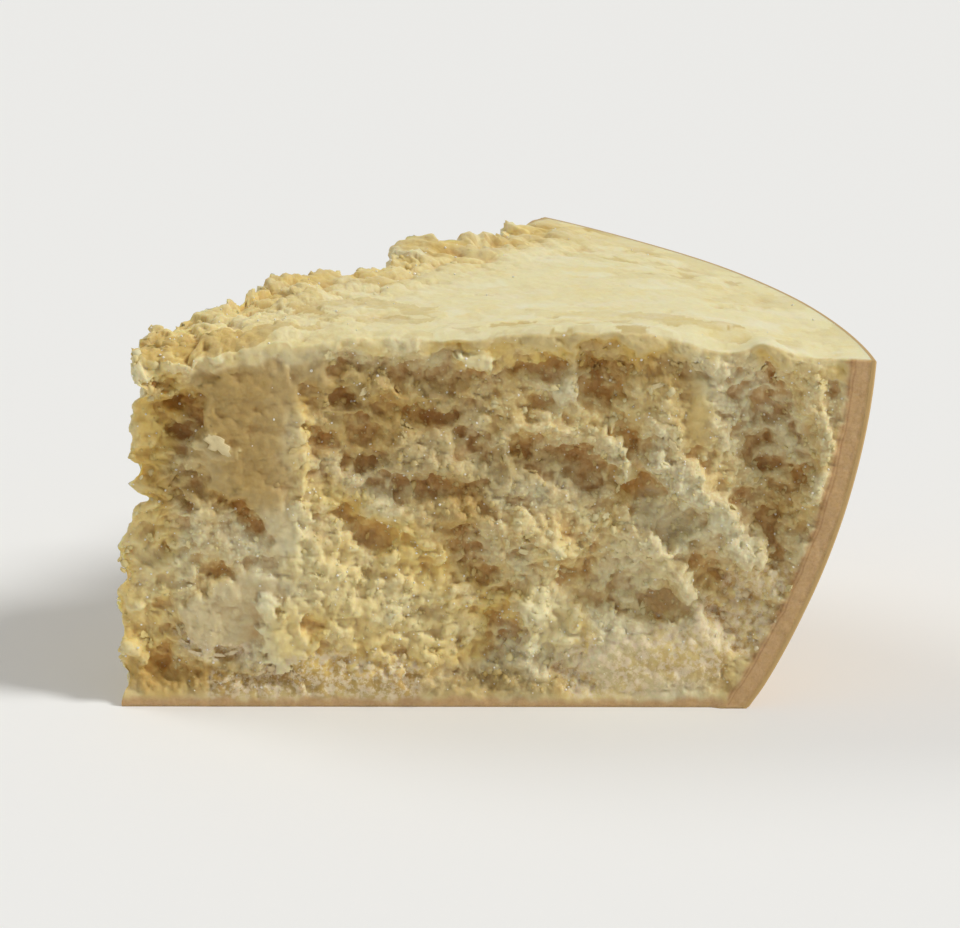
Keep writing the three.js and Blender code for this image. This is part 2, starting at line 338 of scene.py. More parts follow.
def grains(seed: int, places: Array) -> tuple[Array, Array, Array, Array]:
    """Parts space into grains round scattered kernels, about one to a unit cell.

    Args:
        seed: Picks one of many such partings.
        places: One row of two or three numbers for each place.

    Returns:
        The distance to the nearest kernel, the height of that grain's own sloping facet, the
        grain's own number from 0 to 1, and its kernel's place.
    """
    base = np.floor(places)
    home = base.copy()
    near = np.full(len(places), 9.0)
    for offset in itertools.product((-1, 0, 1), repeat=places.shape[1]):
        cells = base + offset
        distance = np.linalg.norm(places - kernels(seed, cells), axis=1)
        nearer = distance < near
        home[nearer] = cells[nearer]
        near = np.minimum(near, distance)
    lean = 2 * (kernels(seed + 6, home) - home) - 1
    kernel = kernels(seed, home)
    facet = ((places - kernel) * lean).sum(axis=1)
    return near, facet, scatter(seed + 5, *home.T), kernel


@dataclass(frozen=True)
class Wheel:
    """The whole wheel that the chunk comes from: a drum with a barrel-shaped side."""

    radius: float = 225.0
    height: float = 240.0
    barrel_radius: float = 222.0

    def rind_radius(self, z: Array) -> Array:
        """Gives the wheel's radius at a height over its flat face."""
        return self.radius - self.barrel_radius + np.sqrt(self.barrel_radius**2 - (self.height / 2 - z) ** 2)


@dataclass(frozen=True)
class Wedge:
    """The chunk's smooth form: a sector of the wheel's lower half, before it crumbled."""

    wheel: Wheel = Wheel()
    angle: float = math.radians(51.5)
    split_height: float = 116.5
    tip_front: tuple[float, float] = (-2.0, 1.0)
    tip_back: tuple[float, float] = (7.0, 28.0)
    tip_droop: float = 6.0
    tip_droop_reach: float = 65.0
    rind_droop: float = 6.4
    rind_droop_width: float = 52.0

    def top_height(self, x: Array, y: Array) -> Array:
        """Gives the height of the split across the wheel."""
        r = np.hypot(x, y)
        turn = np.clip(np.arctan2(y, x) / self.angle, 0, 1)
        tip = self.tip_droop * fade(r, self.tip_droop_reach)
        near_rind = rise(r - self.wheel.radius, -self.rind_droop_width, 0)
        return self.split_height - tip - self.rind_droop * (1 - turn**1.5) * near_rind

    def plan_place(self, u: Array, v: Array, z: Array, inset: float = 0.0) -> tuple[Array, Array]:
        """Finds a place in the plan at a height.

        Args:
            u: 0 at the tip and 1 at the rind.
            v: 0 at the front and 1 at the back.
            z: The height.
            inset: How far the rind side stays inside the wheel.

        Returns:
            The place's x and y.
        """
        r = self.wheel.rind_radius(z) - inset
        tip = [a + (b - a) * v for a, b in zip(self.tip_front, self.tip_back)]
        rim = (r * np.cos(v * self.angle), r * np.sin(v * self.angle))
        return tuple(t + (edge - t) * u for t, edge in zip(tip, rim))


@dataclass(frozen=True)
class Fracture:
    """How the wedge's faces are broken. Its numbers began as the solid's own."""

    wedge: Wedge = Wedge()
    front_depth: float = 3.2
    back_depth: float = 1.8
    proudest: float = -1.5
    rind_band: float = 8.0
    base_band: float = 3.5
    band_blend: float = 4.0
    strip_width: float = 19.0
    strip_blend: float = 9.0
    strip_retreat: float = 4.5
    ledge_height: float = 100.0
    ledge_blend: float = 6.0
    warp_reach: float = 30.0
    bowl_reach: float = 1.7
    crumbled_back: float = 50.0
    crumbled_tip: float = 105.0
    tip_depth: float = 4.0
    rind_swell: float = 0.5
    swells: float = 5.0
    swell_height: float = 35.0
    foot_start: float = 1.0
    foot_blend: float = 7.0
    foot_depth: float = 1.2
    lip_height: float = 5.6
    lip_drop: float = 1.6
    lip_reach: float = 6.0
    plate_length: float = 30.0
    plate_width: float = 16.0
    plate_step: float = 0.45
    flake_size: float = 9.0
    flake_step: float = 1.4
    shard_size: float = 4.2
    shard_step: float = 1.0
    chip_size: float = 7.0
    chip_step: float = 0.6
    chunk_size: float = 10.0
    chunk_height: float = 3.0
    thin_step: float = 0.8
    low_band: tuple[float, float] = (8.0, 22.0)
    low_fill: float = 0.35
    lip_calm: float = 0.7
    lip_from: tuple[float, float] = (12.0, 25.0)
    hollow_raggedness: float = 0.7
    flaked_to: tuple[float, float] = (24.0, 44.0)
    thin_to: tuple[float, float] = (24.0, 36.0)
    thin_from: tuple[float, float] = (72.0, 80.0)
    top_edge_to: tuple[float, float] = (188.0, 206.0)
    # Layers of noise, each its height and its lengths along the face's two ways.
    lump_layers: Layers = ((2.4, 18, 15), (1.7, 9, 8))
    side_layers: Layers = ((1.8, 6, 6), (1.5, 2.9, 2.9), (0.6, 1.3, 1.3))
    lip_layers: Layers = ((1.5, 8, 8), (1.5, 3, 3))
    foot_layers: Layers = ((1.5, 4, 4),)
    hollow_layers: Layers = ((0.3, 4.5, 4),)
    ridge_layers: Layers = ((0.5, 6, 6),)
    ridge_side_layers: Layers = ((2.2, 9, 9),)
    swell_layers: Layers = ((0.5, 40, 30), (0.3, 14, 12))
    top_edge_layers: Layers = ((1.5, 5, 5),)
    top_lip_layers: Layers = ((0.9, 7, 5),)
    chunk_side_layers: Layers = ((2.5, 7, 7),)
    chip_side_layers: Layers = ((1.2, 4, 4),)
    plate_side_layers: Layers = ((7, 17, 13), (2.5, 5, 4))

    def bowls(self, a: Array, b: Array, marks: tuple[Stroke, ...]) -> Array:
        """Gives the deepest bowl that the strokes have at each place."""
        depths = [mark.depth * fade(mark.distance(a, b), self.bowl_reach) for mark in marks]
        return np.maximum(0, np.max(depths, axis=0))

    def lumps(self, a: Array, b: Array, seed: int) -> Array:
        """Gives the lumps of every crumbled face, as a depth about 0."""
        return shifted(0.0, seed, self.lump_layers, a, b)

    @staticmethod
    def flats(a: Array, b: Array, marks: tuple[Stroke, ...] = FRONT_FLATS) -> tuple[Array, Array]:
        """Finds where the front broke off flat.

        Args:
            a: The places' x.
            b: The places' height.
            marks: The flat places that count.

        Returns:
            1 where it is flat and 0 where it crumbled, and how deep the flat lies there.
        """
        shares = np.array([mark.share(a, b, 1 - mark.soft, 1.1) for mark in marks])
        levels = np.array([mark.depth for mark in marks])[:, None]
        weights = shares**4
        return shares.max(axis=0), (levels * weights).sum(axis=0) / np.maximum(weights.sum(axis=0), 1e-9)

    def lip(self, x: Array, z: Array) -> Array:
        """Gives how far up the front's smooth, rounded top edge a place lies, from 0 to 1."""
        below = shifted(self.wedge.top_height(x, 0 * x) - z, 28, self.lip_layers, x, z)
        return (1 - rise(below, self.lip_height / 2, self.lip_height * 1.5)) * rise(x, *self.lip_from)

    def wander(self, x: Array, z: Array, ragged: float = 1.0) -> tuple[Array, Array]:
        """Shifts places on a face, so that strokes have ragged sides.

        Args:
            x: The places' x.
            z: The places' other coordinate.
            ragged: How much of the finer shifts there is.

        Returns:
            The shifted coordinates.
        """
        coarse, *finer = self.side_layers
        layers = (coarse, *((ragged * height, *lengths) for height, *lengths in finer))
        return shifted(x, 21, layers, x, z, step=2), shifted(z, 22, layers, x, z, step=2)

    def crumbled_front(self, x: Array, z: Array, pits: tuple[Stroke, ...]) -> Array:
        """Gives how deep the front lies where it crumbled: its lumps, hollows, pits, ridges and crests.

        Args:
            x: The places' x.
            z: The places' height.
            pits: Finer pits than the solid has.

        Returns:
            The depth at each place.
        """
        low = 1 - rise(z, *self.low_band)
        depth = self.front_depth * (1 - self.low_fill * low) + self.lumps(x, z, 1)
        depth = depth * (1 - self.lip_calm * self.lip(x, z))
        a, b = self.wander(x, z, self.hollow_raggedness)
        hollows = self.bowls(a, b, FRONT_HOLLOWS) + self.bowls(a, b, pits)
        a, b = self.wander(x, z)
        c, d = (shifted(p, seed, self.ridge_side_layers, x, z) for p, seed in ((a, 18), (b, 19)))
        ridges = self.bowls(c, d, FRONT_RIDGES) + self.bowls(a, b, FRONT_CRESTS)
        hollows = shifted(1, 27, self.hollow_layers, x, z) * hollows
        return depth + hollows - shifted(1, 20, self.ridge_layers, x, z) * ridges

    def flat_front(self, x: Array, z: Array) -> tuple[Array, Array]:
        """Finds where the front broke off flat, in thin layers or in shards.

        Args:
            x: The places' x.
            z: The places' height.

        Returns:
            1 where it is flat and 0 where it crumbled, and how deep the flat lies there.
        """
        a, b = self.wander(x, z)
        flat, level = self.flats(a, b)
        layers = self.flakes(a, b, self.flake_size)[0] - 0.5
        level += self.flake_step * layers * (1 - rise(x, *self.flaked_to))
        layers = self.flakes(x, z, self.shard_size)[0] - 0.5
        level += self.thin_step * layers * (1 - rise(x, *self.thin_to)) * rise(z, *self.thin_from)
        on_shard, shard_level = self.shards(x, z)
        return np.maximum(flat, on_shard), level * (1 - on_shard) + shard_level * on_shard

    def front(self, x: Array, z: Array, pits: tuple[Stroke, ...]) -> Array:
        """Gives how deep the front lies behind y 0.

        Args:
            x: The places' x.
            z: The places' height.
            pits: Finer pits than the solid has.

        Returns:
            The depth at each place.
        """
        over_foot = shifted(z, 17, self.foot_layers, x, z)
        over_foot = rise(over_foot, self.base_band, self.base_band + self.foot_blend)
        past_rim = x - self.wedge.wheel.rind_radius(z)
        in_rind = rise(past_rim, -self.rind_band - self.band_blend, -self.rind_band)
        under_ledge = 1 - rise(z, self.ledge_height - self.ledge_blend, self.ledge_height)
        in_strip = 1 - rise(x, self.strip_width - self.strip_blend, self.strip_width)
        flat, level = self.flat_front(x, z)
        broken = self.crumbled_front(x, z, pits) * (1 - flat) + level * flat
        broken = broken * (1 - np.maximum(in_rind, 1 - over_foot))
        retreat = self.strip_retreat * in_strip * under_ledge * over_foot
        foot = self.foot_depth * (1 - over_foot) * (1 - in_rind)
        return np.maximum(self.proudest, broken) + retreat + foot

    @staticmethod
    def flakes(x: Array, z: Array, size: float, bend: float = 0.15) -> tuple[Array, Array, Array]:
        """Parts a flat place into thin broken layers.

        Args:
            x: The places' x.
            z: The places' other coordinate.
            size: The layers' length.
            bend: How crooked their edges are.

        Returns:
            Each layer's own number from 0 to 1, and the two coordinates of its middle.
        """
        a = x + bend * size * noise(71, 1.8 * x / size, 2.3 * z / size)
        b = z + bend * size * noise(72, 1.8 * x / size, 2.3 * z / size)
        _, _, own, middle = grains(73, np.stack([a / size, 1.5 * b / size], axis=1))
        return own, middle[:, 0] * size, middle[:, 1] * size / 1.5

    def shards(self, x: Array, z: Array) -> tuple[Array, Array]:
        """Finds the front's angular shards: the broken layers whose middles lie in a shard's stroke.

        Args:
            x: The places' x.
            z: The places' height.

        Returns:
            1 on a shard and 0 off it, and how deep the shard lies.
        """
        own, middle_x, middle_z = self.flakes(x, z, self.shard_size, 0.05)
        inside = np.array([mark.distance(middle_x, middle_z) < 1 for mark in FRONT_SHARDS], dtype=float)
        levels = np.array([mark.depth for mark in FRONT_SHARDS]) @ inside / np.maximum(inside.sum(axis=0), 1)
        return inside.max(axis=0), levels + self.shard_step * (own - 0.5)

    def crumbled_top(self, x: Array, y: Array, from_back: Array) -> Array:
        """Gives how crumbled the split is, from 0 to 1."""
        return np.maximum(fade(from_back, self.crumbled_back), fade(np.hypot(x, y), self.crumbled_tip))

    def top(self, x: Array, y: Array, from_back: Array) -> Array:
        """Gives how deep the split lies below its smooth height."""
        swells = shifted(0.0, 31, self.swell_layers, x, y)
        forms = self.bowls(x, y, TOP_DIPS) - self.bowls(x, y, TOP_RISES)
        forms = forms + self.bowls(*self.wander(x, y), TOP_PITS)
        edge = fade(np.maximum(0, shifted(y, 39, self.top_edge_layers, x, y)), self.lip_reach)
        lip = shifted(self.lip_drop, 40, self.top_lip_layers, x, y) * edge * (1 - rise(x, *self.top_edge_to))
        steps = self.plate_step * (self.plates(x, y) - 0.5) + self.chip_step * self.chips(x, y)
        steps = steps * rise(y, 0, self.lip_reach)
        return swells + forms + lip + steps + self.crumbled_top(x, y, from_back) * self.chunks(x, y)

    def chunks(self, x: Array, y: Array) -> Array:
        """Gives the crumbled split's chunks, as a depth about 0."""
        warped = [shifted(p, seed, self.chunk_side_layers, x, y) for p, seed in ((x, 74), (y, 75))]
        near, facet, own, _ = grains(76, np.stack(warped, axis=1) / self.chunk_size)
        return self.lumps(x, y, 33) - self.chunk_height * (1.2 * (own - 0.5) + 0.6 * facet - near**2 + 0.3)

    def chips(self, x: Array, y: Array) -> Array:
        """Gives the small thin chips that broke out of the split here and there, as a depth about 0."""
        a, b = (shifted(p, seed, self.chip_side_layers, x, y) for p, seed in ((x, 43), (y, 44)))
        own = self.flakes(a, b, self.chip_size)[0]
        return (own - 0.5) * rise(noise(42, x / 24, y / 16), -0.1, 0.4)

    def plates(self, x: Array, y: Array) -> Array:
        """Gives the split's shallow broken plates, each its own number from 0 to 1."""
        a, b = (shifted(p, seed, self.plate_side_layers, x, y) for p, seed in ((x, 34), (y, 36)))
        return grains(38, np.stack([a / self.plate_length, b / self.plate_width], axis=1))[2]

    def back(self, along: Array, z: Array) -> Array:
        """Gives how deep the back lies behind its own flat break."""
        forms = self.bowls(along, z, BACK_BAYS) - self.bowls(along, z, BACK_BUTTRESSES)
        return self.back_depth + 0.6 * self.lumps(along, z, 41) + 0.8 * self.chunks(along, z) + forms

    def tip(self, y: Array, z: Array) -> Array:
        """Gives how deep the tip lies behind its own flat break."""
        under_ledge = 1 - rise(z, self.ledge_height, self.ledge_height + self.ledge_blend)
        return under_ledge * (0.8 * self.lumps(y, z, 51) + self.bowls(y, z, TIP_NOTCHES))

    def swelled(self, turn: Array, z: Array) -> Array:
        """Gives how far the rind swells out of its barrel, at a share of the way round and a height."""
        over_foot = rise(z, self.foot_start, self.base_band + self.band_blend)
        return self.rind_swell * noise(61, self.swells * turn, z / self.swell_height) * over_foot

    def back_frame(self, x: Array, y: Array, z: Array) -> tuple[Array, Array, Array, Array]:
        """Places points against the back's flat break.

        Args:
            x: The points' x.
            y: The points' y.
            z: The points' height.

        Returns:
            The distance along the back past the tip, the distance in front of it, and the x and
            y of the way along it.
        """
        r = self.wedge.wheel.rind_radius(z)
        way_x = r * math.cos(self.wedge.angle) - self.wedge.tip_back[0]
        way_y = r * math.sin(self.wedge.angle) - self.wedge.tip_back[1]
        length = np.hypot(way_x, way_y)
        way_x, way_y = way_x / length, way_y / length
        from_x, from_y = x - self.wedge.tip_back[0], y - self.wedge.tip_back[1]
        along = from_x * way_x + from_y * way_y
        return along, np.maximum(0, from_x * way_y - from_y * way_x), way_x, way_y

    def broken(self, unit: Array, inset: float) -> Array:
        """Shapes the box into the broken chunk.

        Args:
            unit: The box's places, three numbers from 0 to 1 each.
            inset: How far the rind side stays inside the wheel.

        Returns:
            The same places on the chunk.
        """
        wedge, wheel = self.wedge, self.wedge.wheel
        u, v, w = unit.T
        rough = wedge.plan_place(u, v, w * wedge.split_height)
        z = w * wedge.top_height(*rough)
        x, y = wedge.plan_place(u, v, z, inset)
        turn = np.arctan2(y, x)
        along, from_back, way_x, way_y = self.back_frame(x, y, z)
        from_rind = wheel.rind_radius(z) - np.hypot(x, y)
        over_foot = rise(z, self.foot_start, self.base_band + self.band_blend)
        off_rind = rise(from_rind, self.rind_band, self.rind_band + self.band_blend)
        front = self.front(x, z, FRONT_PITS) * fade(np.maximum(0, y), self.warp_reach)
        back = over_foot * off_rind * self.back(along, z) * fade(from_back, self.warp_reach)
        past_tip = np.maximum(0, x - wedge.tip_front[0] - self.tip_depth)
        tip = over_foot * self.tip(y, z) * fade(past_tip, self.warp_reach)
        top = off_rind * self.top(x, y, from_back) * fade(wedge.split_height - z, self.warp_reach)
        swell = self.swelled(turn / wedge.angle, z) * fade(from_rind, self.warp_reach)
        shift_x = tip + back * way_y + swell * np.cos(turn)
        shift_y = front - back * way_x + swell * np.sin(turn)
        places = np.stack([x + shift_x, y + shift_y, z - top], axis=1)
        places[w < 1e-6, 2] = 0
        return places


def to_part(places: Array) -> Array:
    """Turns millimetres in the wheel's frame into metres in the part's frame."""
    return (places - np.array([*FOOTPRINT_MIDDLE, 0.0])) * METRES


def box_grid(cells: tuple[int, int, int]) -> bmesh.types.BMesh:
    """Makes a box from 0 to 1 with a grid on each side.

    Args:
        cells: How many cells it has along each axis.

    Returns:
        The box.
    """
    bm = bmesh.new()
    bmesh.ops.create_cube(bm, size=1.0, matrix=Matrix.Translation((0.5, 0.5, 0.5)))
    for axis, count in enumerate(cells):
        edges = [e for e in bm.edges if abs(e.verts[0].co[axis] - e.verts[1].co[axis]) > 1e-4]
        bmesh.ops.subdivide_edges(bm, edges=edges, cuts=count - 1, use_grid_fill=True)
    return bm


def refine(bm: bmesh.types.BMesh, wanted: dict[Side, tuple[int, ...]], cuts: int, rim: bool = True) -> None:
    """Cuts the edges of a box's sides finer.

    Args:
        bm: The box.
        wanted: The axes along which each side's edges are cut.
        cuts: How many cuts each edge gets.
        rim: Whether the edges that a side shares with another are cut too.
    """
    edges = []
    for edge in bm.edges:
        ends = np.array([v.co for v in edge.verts])
        axis = int(np.argmax(np.abs(ends[1] - ends[0])))
        sides = [side for side in Side if side.holds(ends).all()]
        if len(sides) > 1 and not rim:
            continue
        if any(axis in wanted.get(side, ()) for side in sides):
            edges.append(edge)
    bmesh.ops.subdivide_edges(bm, edges=edges, cuts=cuts, use_grid_fill=True)


def merge_side(bm: bmesh.types.BMesh, side: Side) -> None:
    """Makes a flat side of the box a single face."""
    faces = [f for f in bm.faces if side.holds(np.array([v.co for v in f.verts])).all()]
    bmesh.ops.dissolve_faces(bm, faces=faces)


def mesh_places(mesh: bpy.types.Mesh) -> Array:
    """Reads the places of a mesh's vertices."""
    flat = np.empty(3 * len(mesh.vertices))
    mesh.vertices.foreach_get("co", flat)
    return flat.reshape(-1, 3)


def mesh_normals(mesh: bpy.types.Mesh) -> Array:
    """Reads the normals of a mesh's vertices."""
    flat = np.empty(3 * len(mesh.vertices))
    mesh.vertex_normals.foreach_get("vector", flat)
    return flat.reshape(-1, 3)


def move_mesh(mesh: bpy.types.Mesh, places: Array) -> None:
    """Moves a mesh's vertices to new places."""
    mesh.vertices.foreach_set("co", places.astype(np.float32).ravel())
    mesh.update()


def neighbour_mean(mesh: bpy.types.Mesh, values: Array, rounds: int) -> Array:
    """Smooths numbers over a mesh.

    Args:
        mesh: The mesh, whose edges carry the smoothing.
        values: One row for each vertex.
        rounds: How many times each vertex takes the mean of its neighbours.

    Returns:
        The smoothed rows.
    """
    pairs = np.empty(2 * len(mesh.edges), dtype=np.int64)
    mesh.edges.foreach_get("vertices", pairs)
    a, b = pairs.reshape(-1, 2).T
    count = len(mesh.vertices)
    degree = np.bincount(a, minlength=count) + np.bincount(b, minlength=count)
    out = values.copy()
    for _ in range(rounds):
        for column in range(out.shape[1]):
            row = out[:, column]
            total = np.bincount(a, weights=row[b], minlength=count)
            total += np.bincount(b, weights=row[a], minlength=count)
            out[:, column] = total / degree
    return out


def new_mesh(name: str, bm: bmesh.types.BMesh) -> bpy.types.Mesh:
    """Turns a shape into a mesh, and frees it."""
    mesh = bpy.data.meshes.new(name)
    bm.to_mesh(mesh)
    bm.free()
    return mesh


def new_piece(mesh: bpy.types.Mesh, material: bpy.types.Material) -> bpy.types.Object:
    """Dresses a mesh and puts it into the scene under its own name."""
    mesh.materials.append(material)
    piece = bpy.data.objects.new(mesh.name, mesh)
    bpy.context.collection.objects.link(piece)
    return piece


def add_values(mesh: bpy.types.Mesh, values: dict[str, Array]) -> None:
    """Keeps numbers on a mesh's vertices for its finish to read.

    Args:
        mesh: The mesh.
        values: One number for each vertex, by name.
    """
    for name, numbers in values.items():
        attribute = mesh.attributes.new(name, "FLOAT", "POINT")
        attribute.data.foreach_set("value", numbers.astype(np.float32))


def vertex_areas(mesh: bpy.types.Mesh) -> Array:
    """Shares a mesh's area out among its vertices."""
    areas = np.empty(len(mesh.polygons))
    sides = np.empty(len(mesh.polygons), dtype=np.int64)
    corners = np.empty(len(mesh.loops), dtype=np.int64)
    mesh.polygons.foreach_get("area", areas)
    mesh.polygons.foreach_get("loop_total", sides)
    mesh.loops.foreach_get("vertex_index", corners)
    return np.bincount(corners, weights=np.repeat(areas / sides, sides), minlength=len(mesh.vertices))


def shape_of(bm: bmesh.types.BMesh) -> tuple[Array, Array]:
    """Reads a small shape that is to be copied, and frees it.

    Args:
        bm: The shape.

    Returns:
        Its vertices' places and its triangles.
    """
    bmesh.ops.triangulate(bm, faces=bm.faces[:])
    corners = np.array([v.co for v in bm.verts])
    faces = np.array([[v.index for v in face.verts] for face in bm.faces])
    bm.free()
    return corners, faces


def joined(name: str, copies: Array, faces: Array, values: dict[str, Array]) -> bpy.types.Mesh:
    """Joins copies of one small shape into a single mesh.

    Args:
        name: The mesh's name.
        copies: Each copy's vertices, in millimetres.
        faces: The shape's triangles.
        values: One number for each copy, by name, for the finish to read.

    Returns:
        The mesh.
    """
    count, size, _ = copies.shape
    starts = size * np.arange(count)[:, None, None]
    places = copies.reshape(-1, 3)
    places[:, 2] = np.maximum(places[:, 2], FLOOR_GAP)
    mesh = bpy.data.meshes.new(name)
    mesh.from_pydata(to_part(places), [], (faces[None] + starts).reshape(-1, 3).tolist())
    add_values(mesh, {key: np.repeat(numbers, size) for key, numbers in values.items()})
    return mesh


def ball() -> tuple[Array, Array]:
    """Makes the round shape that crumbs and crystals start from: its vertices and its triangles."""
    bm = bmesh.new()
    bmesh.ops.create_icosphere(bm, subdivisions=1, radius=1.0)
    return shape_of(bm)


def picked(rng: np.random.Generator, weights: Array, count: int) -> Array:
    """Picks vertices by chance, each the likelier the more it weighs."""
    return rng.choice(len(weights), count, replace=False, p=weights / weights.sum())


def any_turns(rng: np.random.Generator, count: int) -> Array:
    """Makes rotation matrices that turn every way alike.

    Args:
        rng: The source of random numbers.
        count: How many are wanted.

    Returns:
        One matrix for each.
    """
    first, second = rng.normal(size=(2, count, 3))
    first /= np.linalg.norm(first, axis=1, keepdims=True)
    third = np.cross(first, second)
    third /= np.linalg.norm(third, axis=1, keepdims=True)
    return np.stack([first, np.cross(third, first), third], axis=2)


def seats(normals: Array, spin: Array) -> Array:
    """Makes rotation matrices that lay a shape flat on a surface.

    Args:
        normals: The surface's normals.
        spin: How far each shape is turned on the surface, in radians.

    Returns:
        One matrix for each, whose third column is the normal.
    """
    guide = np.where(np.abs(normals[:, 2:]) < 0.9, [[0.0, 0.0, 1.0]], [[1.0, 0.0, 0.0]])
    side = np.cross(guide, normals)
    side /= np.linalg.norm(side, axis=1, keepdims=True)
    over = np.cross(normals, side)
    c, s = np.cos(spin)[:, None], np.sin(spin)[:, None]
    return np.stack([c * side + s * over, c * over - s * side, normals], axis=2)


def linear(code: str) -> Colour:
    """Turns a colour code such as e4d3a0 into linear light."""
    parts = [int(code[n : n + 2], 16) / 255 for n in (0, 2, 4)]
    light = [p / 12.92 if p <= 0.04045 else ((p + 0.055) / 1.055) ** 2.4 for p in parts]
    return (*light, 1.0)


@dataclass(frozen=True)
class Patches:
    """Cloudy patches in a finish: their noise, the part of it over which they come in, and their span."""

    scale: float
    detail: float = 2.0
    roughness: float = 0.5
    low: float = 0.3
    high: float = 0.7
    least: float = 0.0
    most: float = 1.0


class Shader:
    """A material's node tree, with one call for each node."""

    def __init__(self, name: str) -> None:
        """Starts a material with a plain surface.

        Args:
            name: The material's name.
        """
        self.material = bpy.data.materials.new(name)
        self.material.use_nodes = True
        self.nodes = self.material.node_tree.nodes
        self.links = self.material.node_tree.links
        self.surface = self.nodes["Principled BSDF"]
        self.place = self.node("ShaderNodeTexCoord").outputs["Object"]

    def put(self, socket: Socket, value: Any) -> None:
        """Links an input to another node's output, or sets it."""
        if isinstance(value, Socket):
            self.links.new(value, socket)
        else:
            socket.default_value = value

    def node(self, kind: str, inputs: dict[str | int, Any] | None = None, **settings: Any) -> bpy.types.Node:
        """Adds a node.

        Args:
            kind: The node's type.
            inputs: What goes into its sockets, by name or number.
            settings: The node's own settings.

        Returns:
            The node.
        """
        node = self.nodes.new(kind)
        for name, value in settings.items():
            setattr(node, name, value)
        for key, value in (inputs or {}).items():
            self.put(node.inputs[key], value)
        return node

    def value(self, name: str) -> Socket:
        """Reads a number kept on the mesh."""
        return self.node("ShaderNodeAttribute", attribute_name=name).outputs["Fac"]

    def cloud(self, scale: float, detail: float = 2.0, roughness: float = 0.5) -> Socket:
        """Adds cloudy noise from 0 to 1, at a scale in features a metre."""
        inputs = {"Vector": self.place, "Scale": scale, "Detail": detail, "Roughness": roughness}
        return self.node("ShaderNodeTexNoise", inputs).outputs["Fac"]

    def kernels(self, scale: float, warp: float = 0.0) -> Socket:
        """Adds the distance to scattered points.

        Args:
            scale: How many points there are to a metre.
            warp: How far the places are swirled about first, in metres.

        Returns:
            0 at the points, and about 1 far from them.
        """
        inputs = {"Vector": self.place, "Scale": 0.8 * scale, "Detail": 1.0}
        swirl = self.node("ShaderNodeTexNoise", inputs).outputs["Color"]
        inputs = {0: swirl, 1: (warp, warp, warp), 2: self.place}
        place = self.node("ShaderNodeVectorMath", inputs, operation="MULTIPLY_ADD").outputs["Vector"]
        return self.node("ShaderNodeTexVoronoi", {"Vector": place, "Scale": scale}).outputs["Distance"]

    def fibres(self, scale: float) -> Socket:
        """Adds noise drawn out sideways into level fibres, at a scale in features a metre."""
        inputs = {"Vector": self.place, "Scale": (0.6, 0.6, 1.0)}
        place = self.node("ShaderNodeMapping", inputs).outputs["Vector"]
        inputs = {"Vector": place, "Scale": scale, "Detail": 3.0}
        return self.node("ShaderNodeTexNoise", inputs).outputs["Fac"]

    def ramp(self, value: Socket, stops: Sequence[tuple[float, str]]) -> Socket:
        """Turns a number into a colour.

        Args:
            value: The number.
            stops: Places from 0 to 1 and the colour code at each.

        Returns:
            The colour.
        """
        node = self.node("ShaderNodeValToRGB", {"Fac": value})
        elements = node.color_ramp.elements
        while len(elements) < len(stops):
            elements.new(1.0)
        for element, (place, code) in zip(elements, stops):
            element.position = place
            element.color = linear(code)
        return node.outputs["Color"]

    def span(self, value: Socket, low: float, high: float, least: float = 0.0, most: float = 1.0) -> Socket:
        """Stretches a number from one range to another, smoothly and held at its ends."""
        inputs = {"Value": value, "From Min": low, "From Max": high, "To Min": least, "To Max": most}
        return self.node("ShaderNodeMapRange", inputs, interpolation_type="SMOOTHSTEP").outputs["Result"]

    def patches(self, look: Patches) -> Socket:
        """Adds cloudy patches."""
        cloud = self.cloud(look.scale, look.detail, look.roughness)
        return self.span(cloud, look.low, look.high, look.least, look.most)

    def sum(self, operation: str, first: Any, second: Any, clamp: bool = False) -> Socket:
        """Works out one sum of two numbers."""
        node = self.node("ShaderNodeMath", {0: first, 1: second}, operation=operation, use_clamp=clamp)
        return node.outputs["Value"]

    def mix(self, share: Any, first: Any, second: Any, blend: str = "MIX") -> Socket:
        """Mixes two colours.

        Args:
            share: How much of the second colour shows.
            first: The first colour.
            second: The second colour.
            blend: The way of mixing.

        Returns:
            The mixed colour.
        """
        node = self.node("ShaderNodeMix", {"Factor": share}, data_type="RGBA", blend_type=blend)
        colours = [s for s in node.inputs if s.type == "RGBA"]
        self.put(colours[0], first)
        self.put(colours[1], second)
        return next(s for s in node.outputs if s.type == "RGBA")

    def bump(self, height: Any, distance: float, strength: float, under: Socket | None = None) -> Socket:
        """Adds fine relief to the shading.

        Args:
            height: The relief, from 0 to 1.
            distance: How high 1 stands, in metres.
            strength: How much of it shows.
            under: A coarser relief that it lies on.

        Returns:
            The shaded normal.
        """
        inputs = {"Height": height, "Distance": distance, "Strength": strength}
        if under is not None:
            inputs["Normal"] = under
        return self.node("ShaderNodeBump", inputs).outputs["Normal"]

    def finish(
        self, colour: Any, roughness: Any, normal: Socket | None = None, **constants: Any
    ) -> bpy.types.Material:
        """Sets the surface and gives back the finished material.

        Args:
            colour: The surface's colour.
            roughness: Its roughness.
            normal: Its shaded normal, where it has fine relief.
            constants: The surface's other inputs, their names written with underscores.

        Returns:
            The material.
        """
        inputs = {"Base Color": colour, "Roughness": roughness}
        if normal is not None:
            inputs["Normal"] = normal
        inputs |= {name.replace("_", " "): value for name, value in constants.items()}
        for name, value in inputs.items():
            self.put(self.surface.inputs[name], value)
        return self.material


MOST_PALE = 0.6


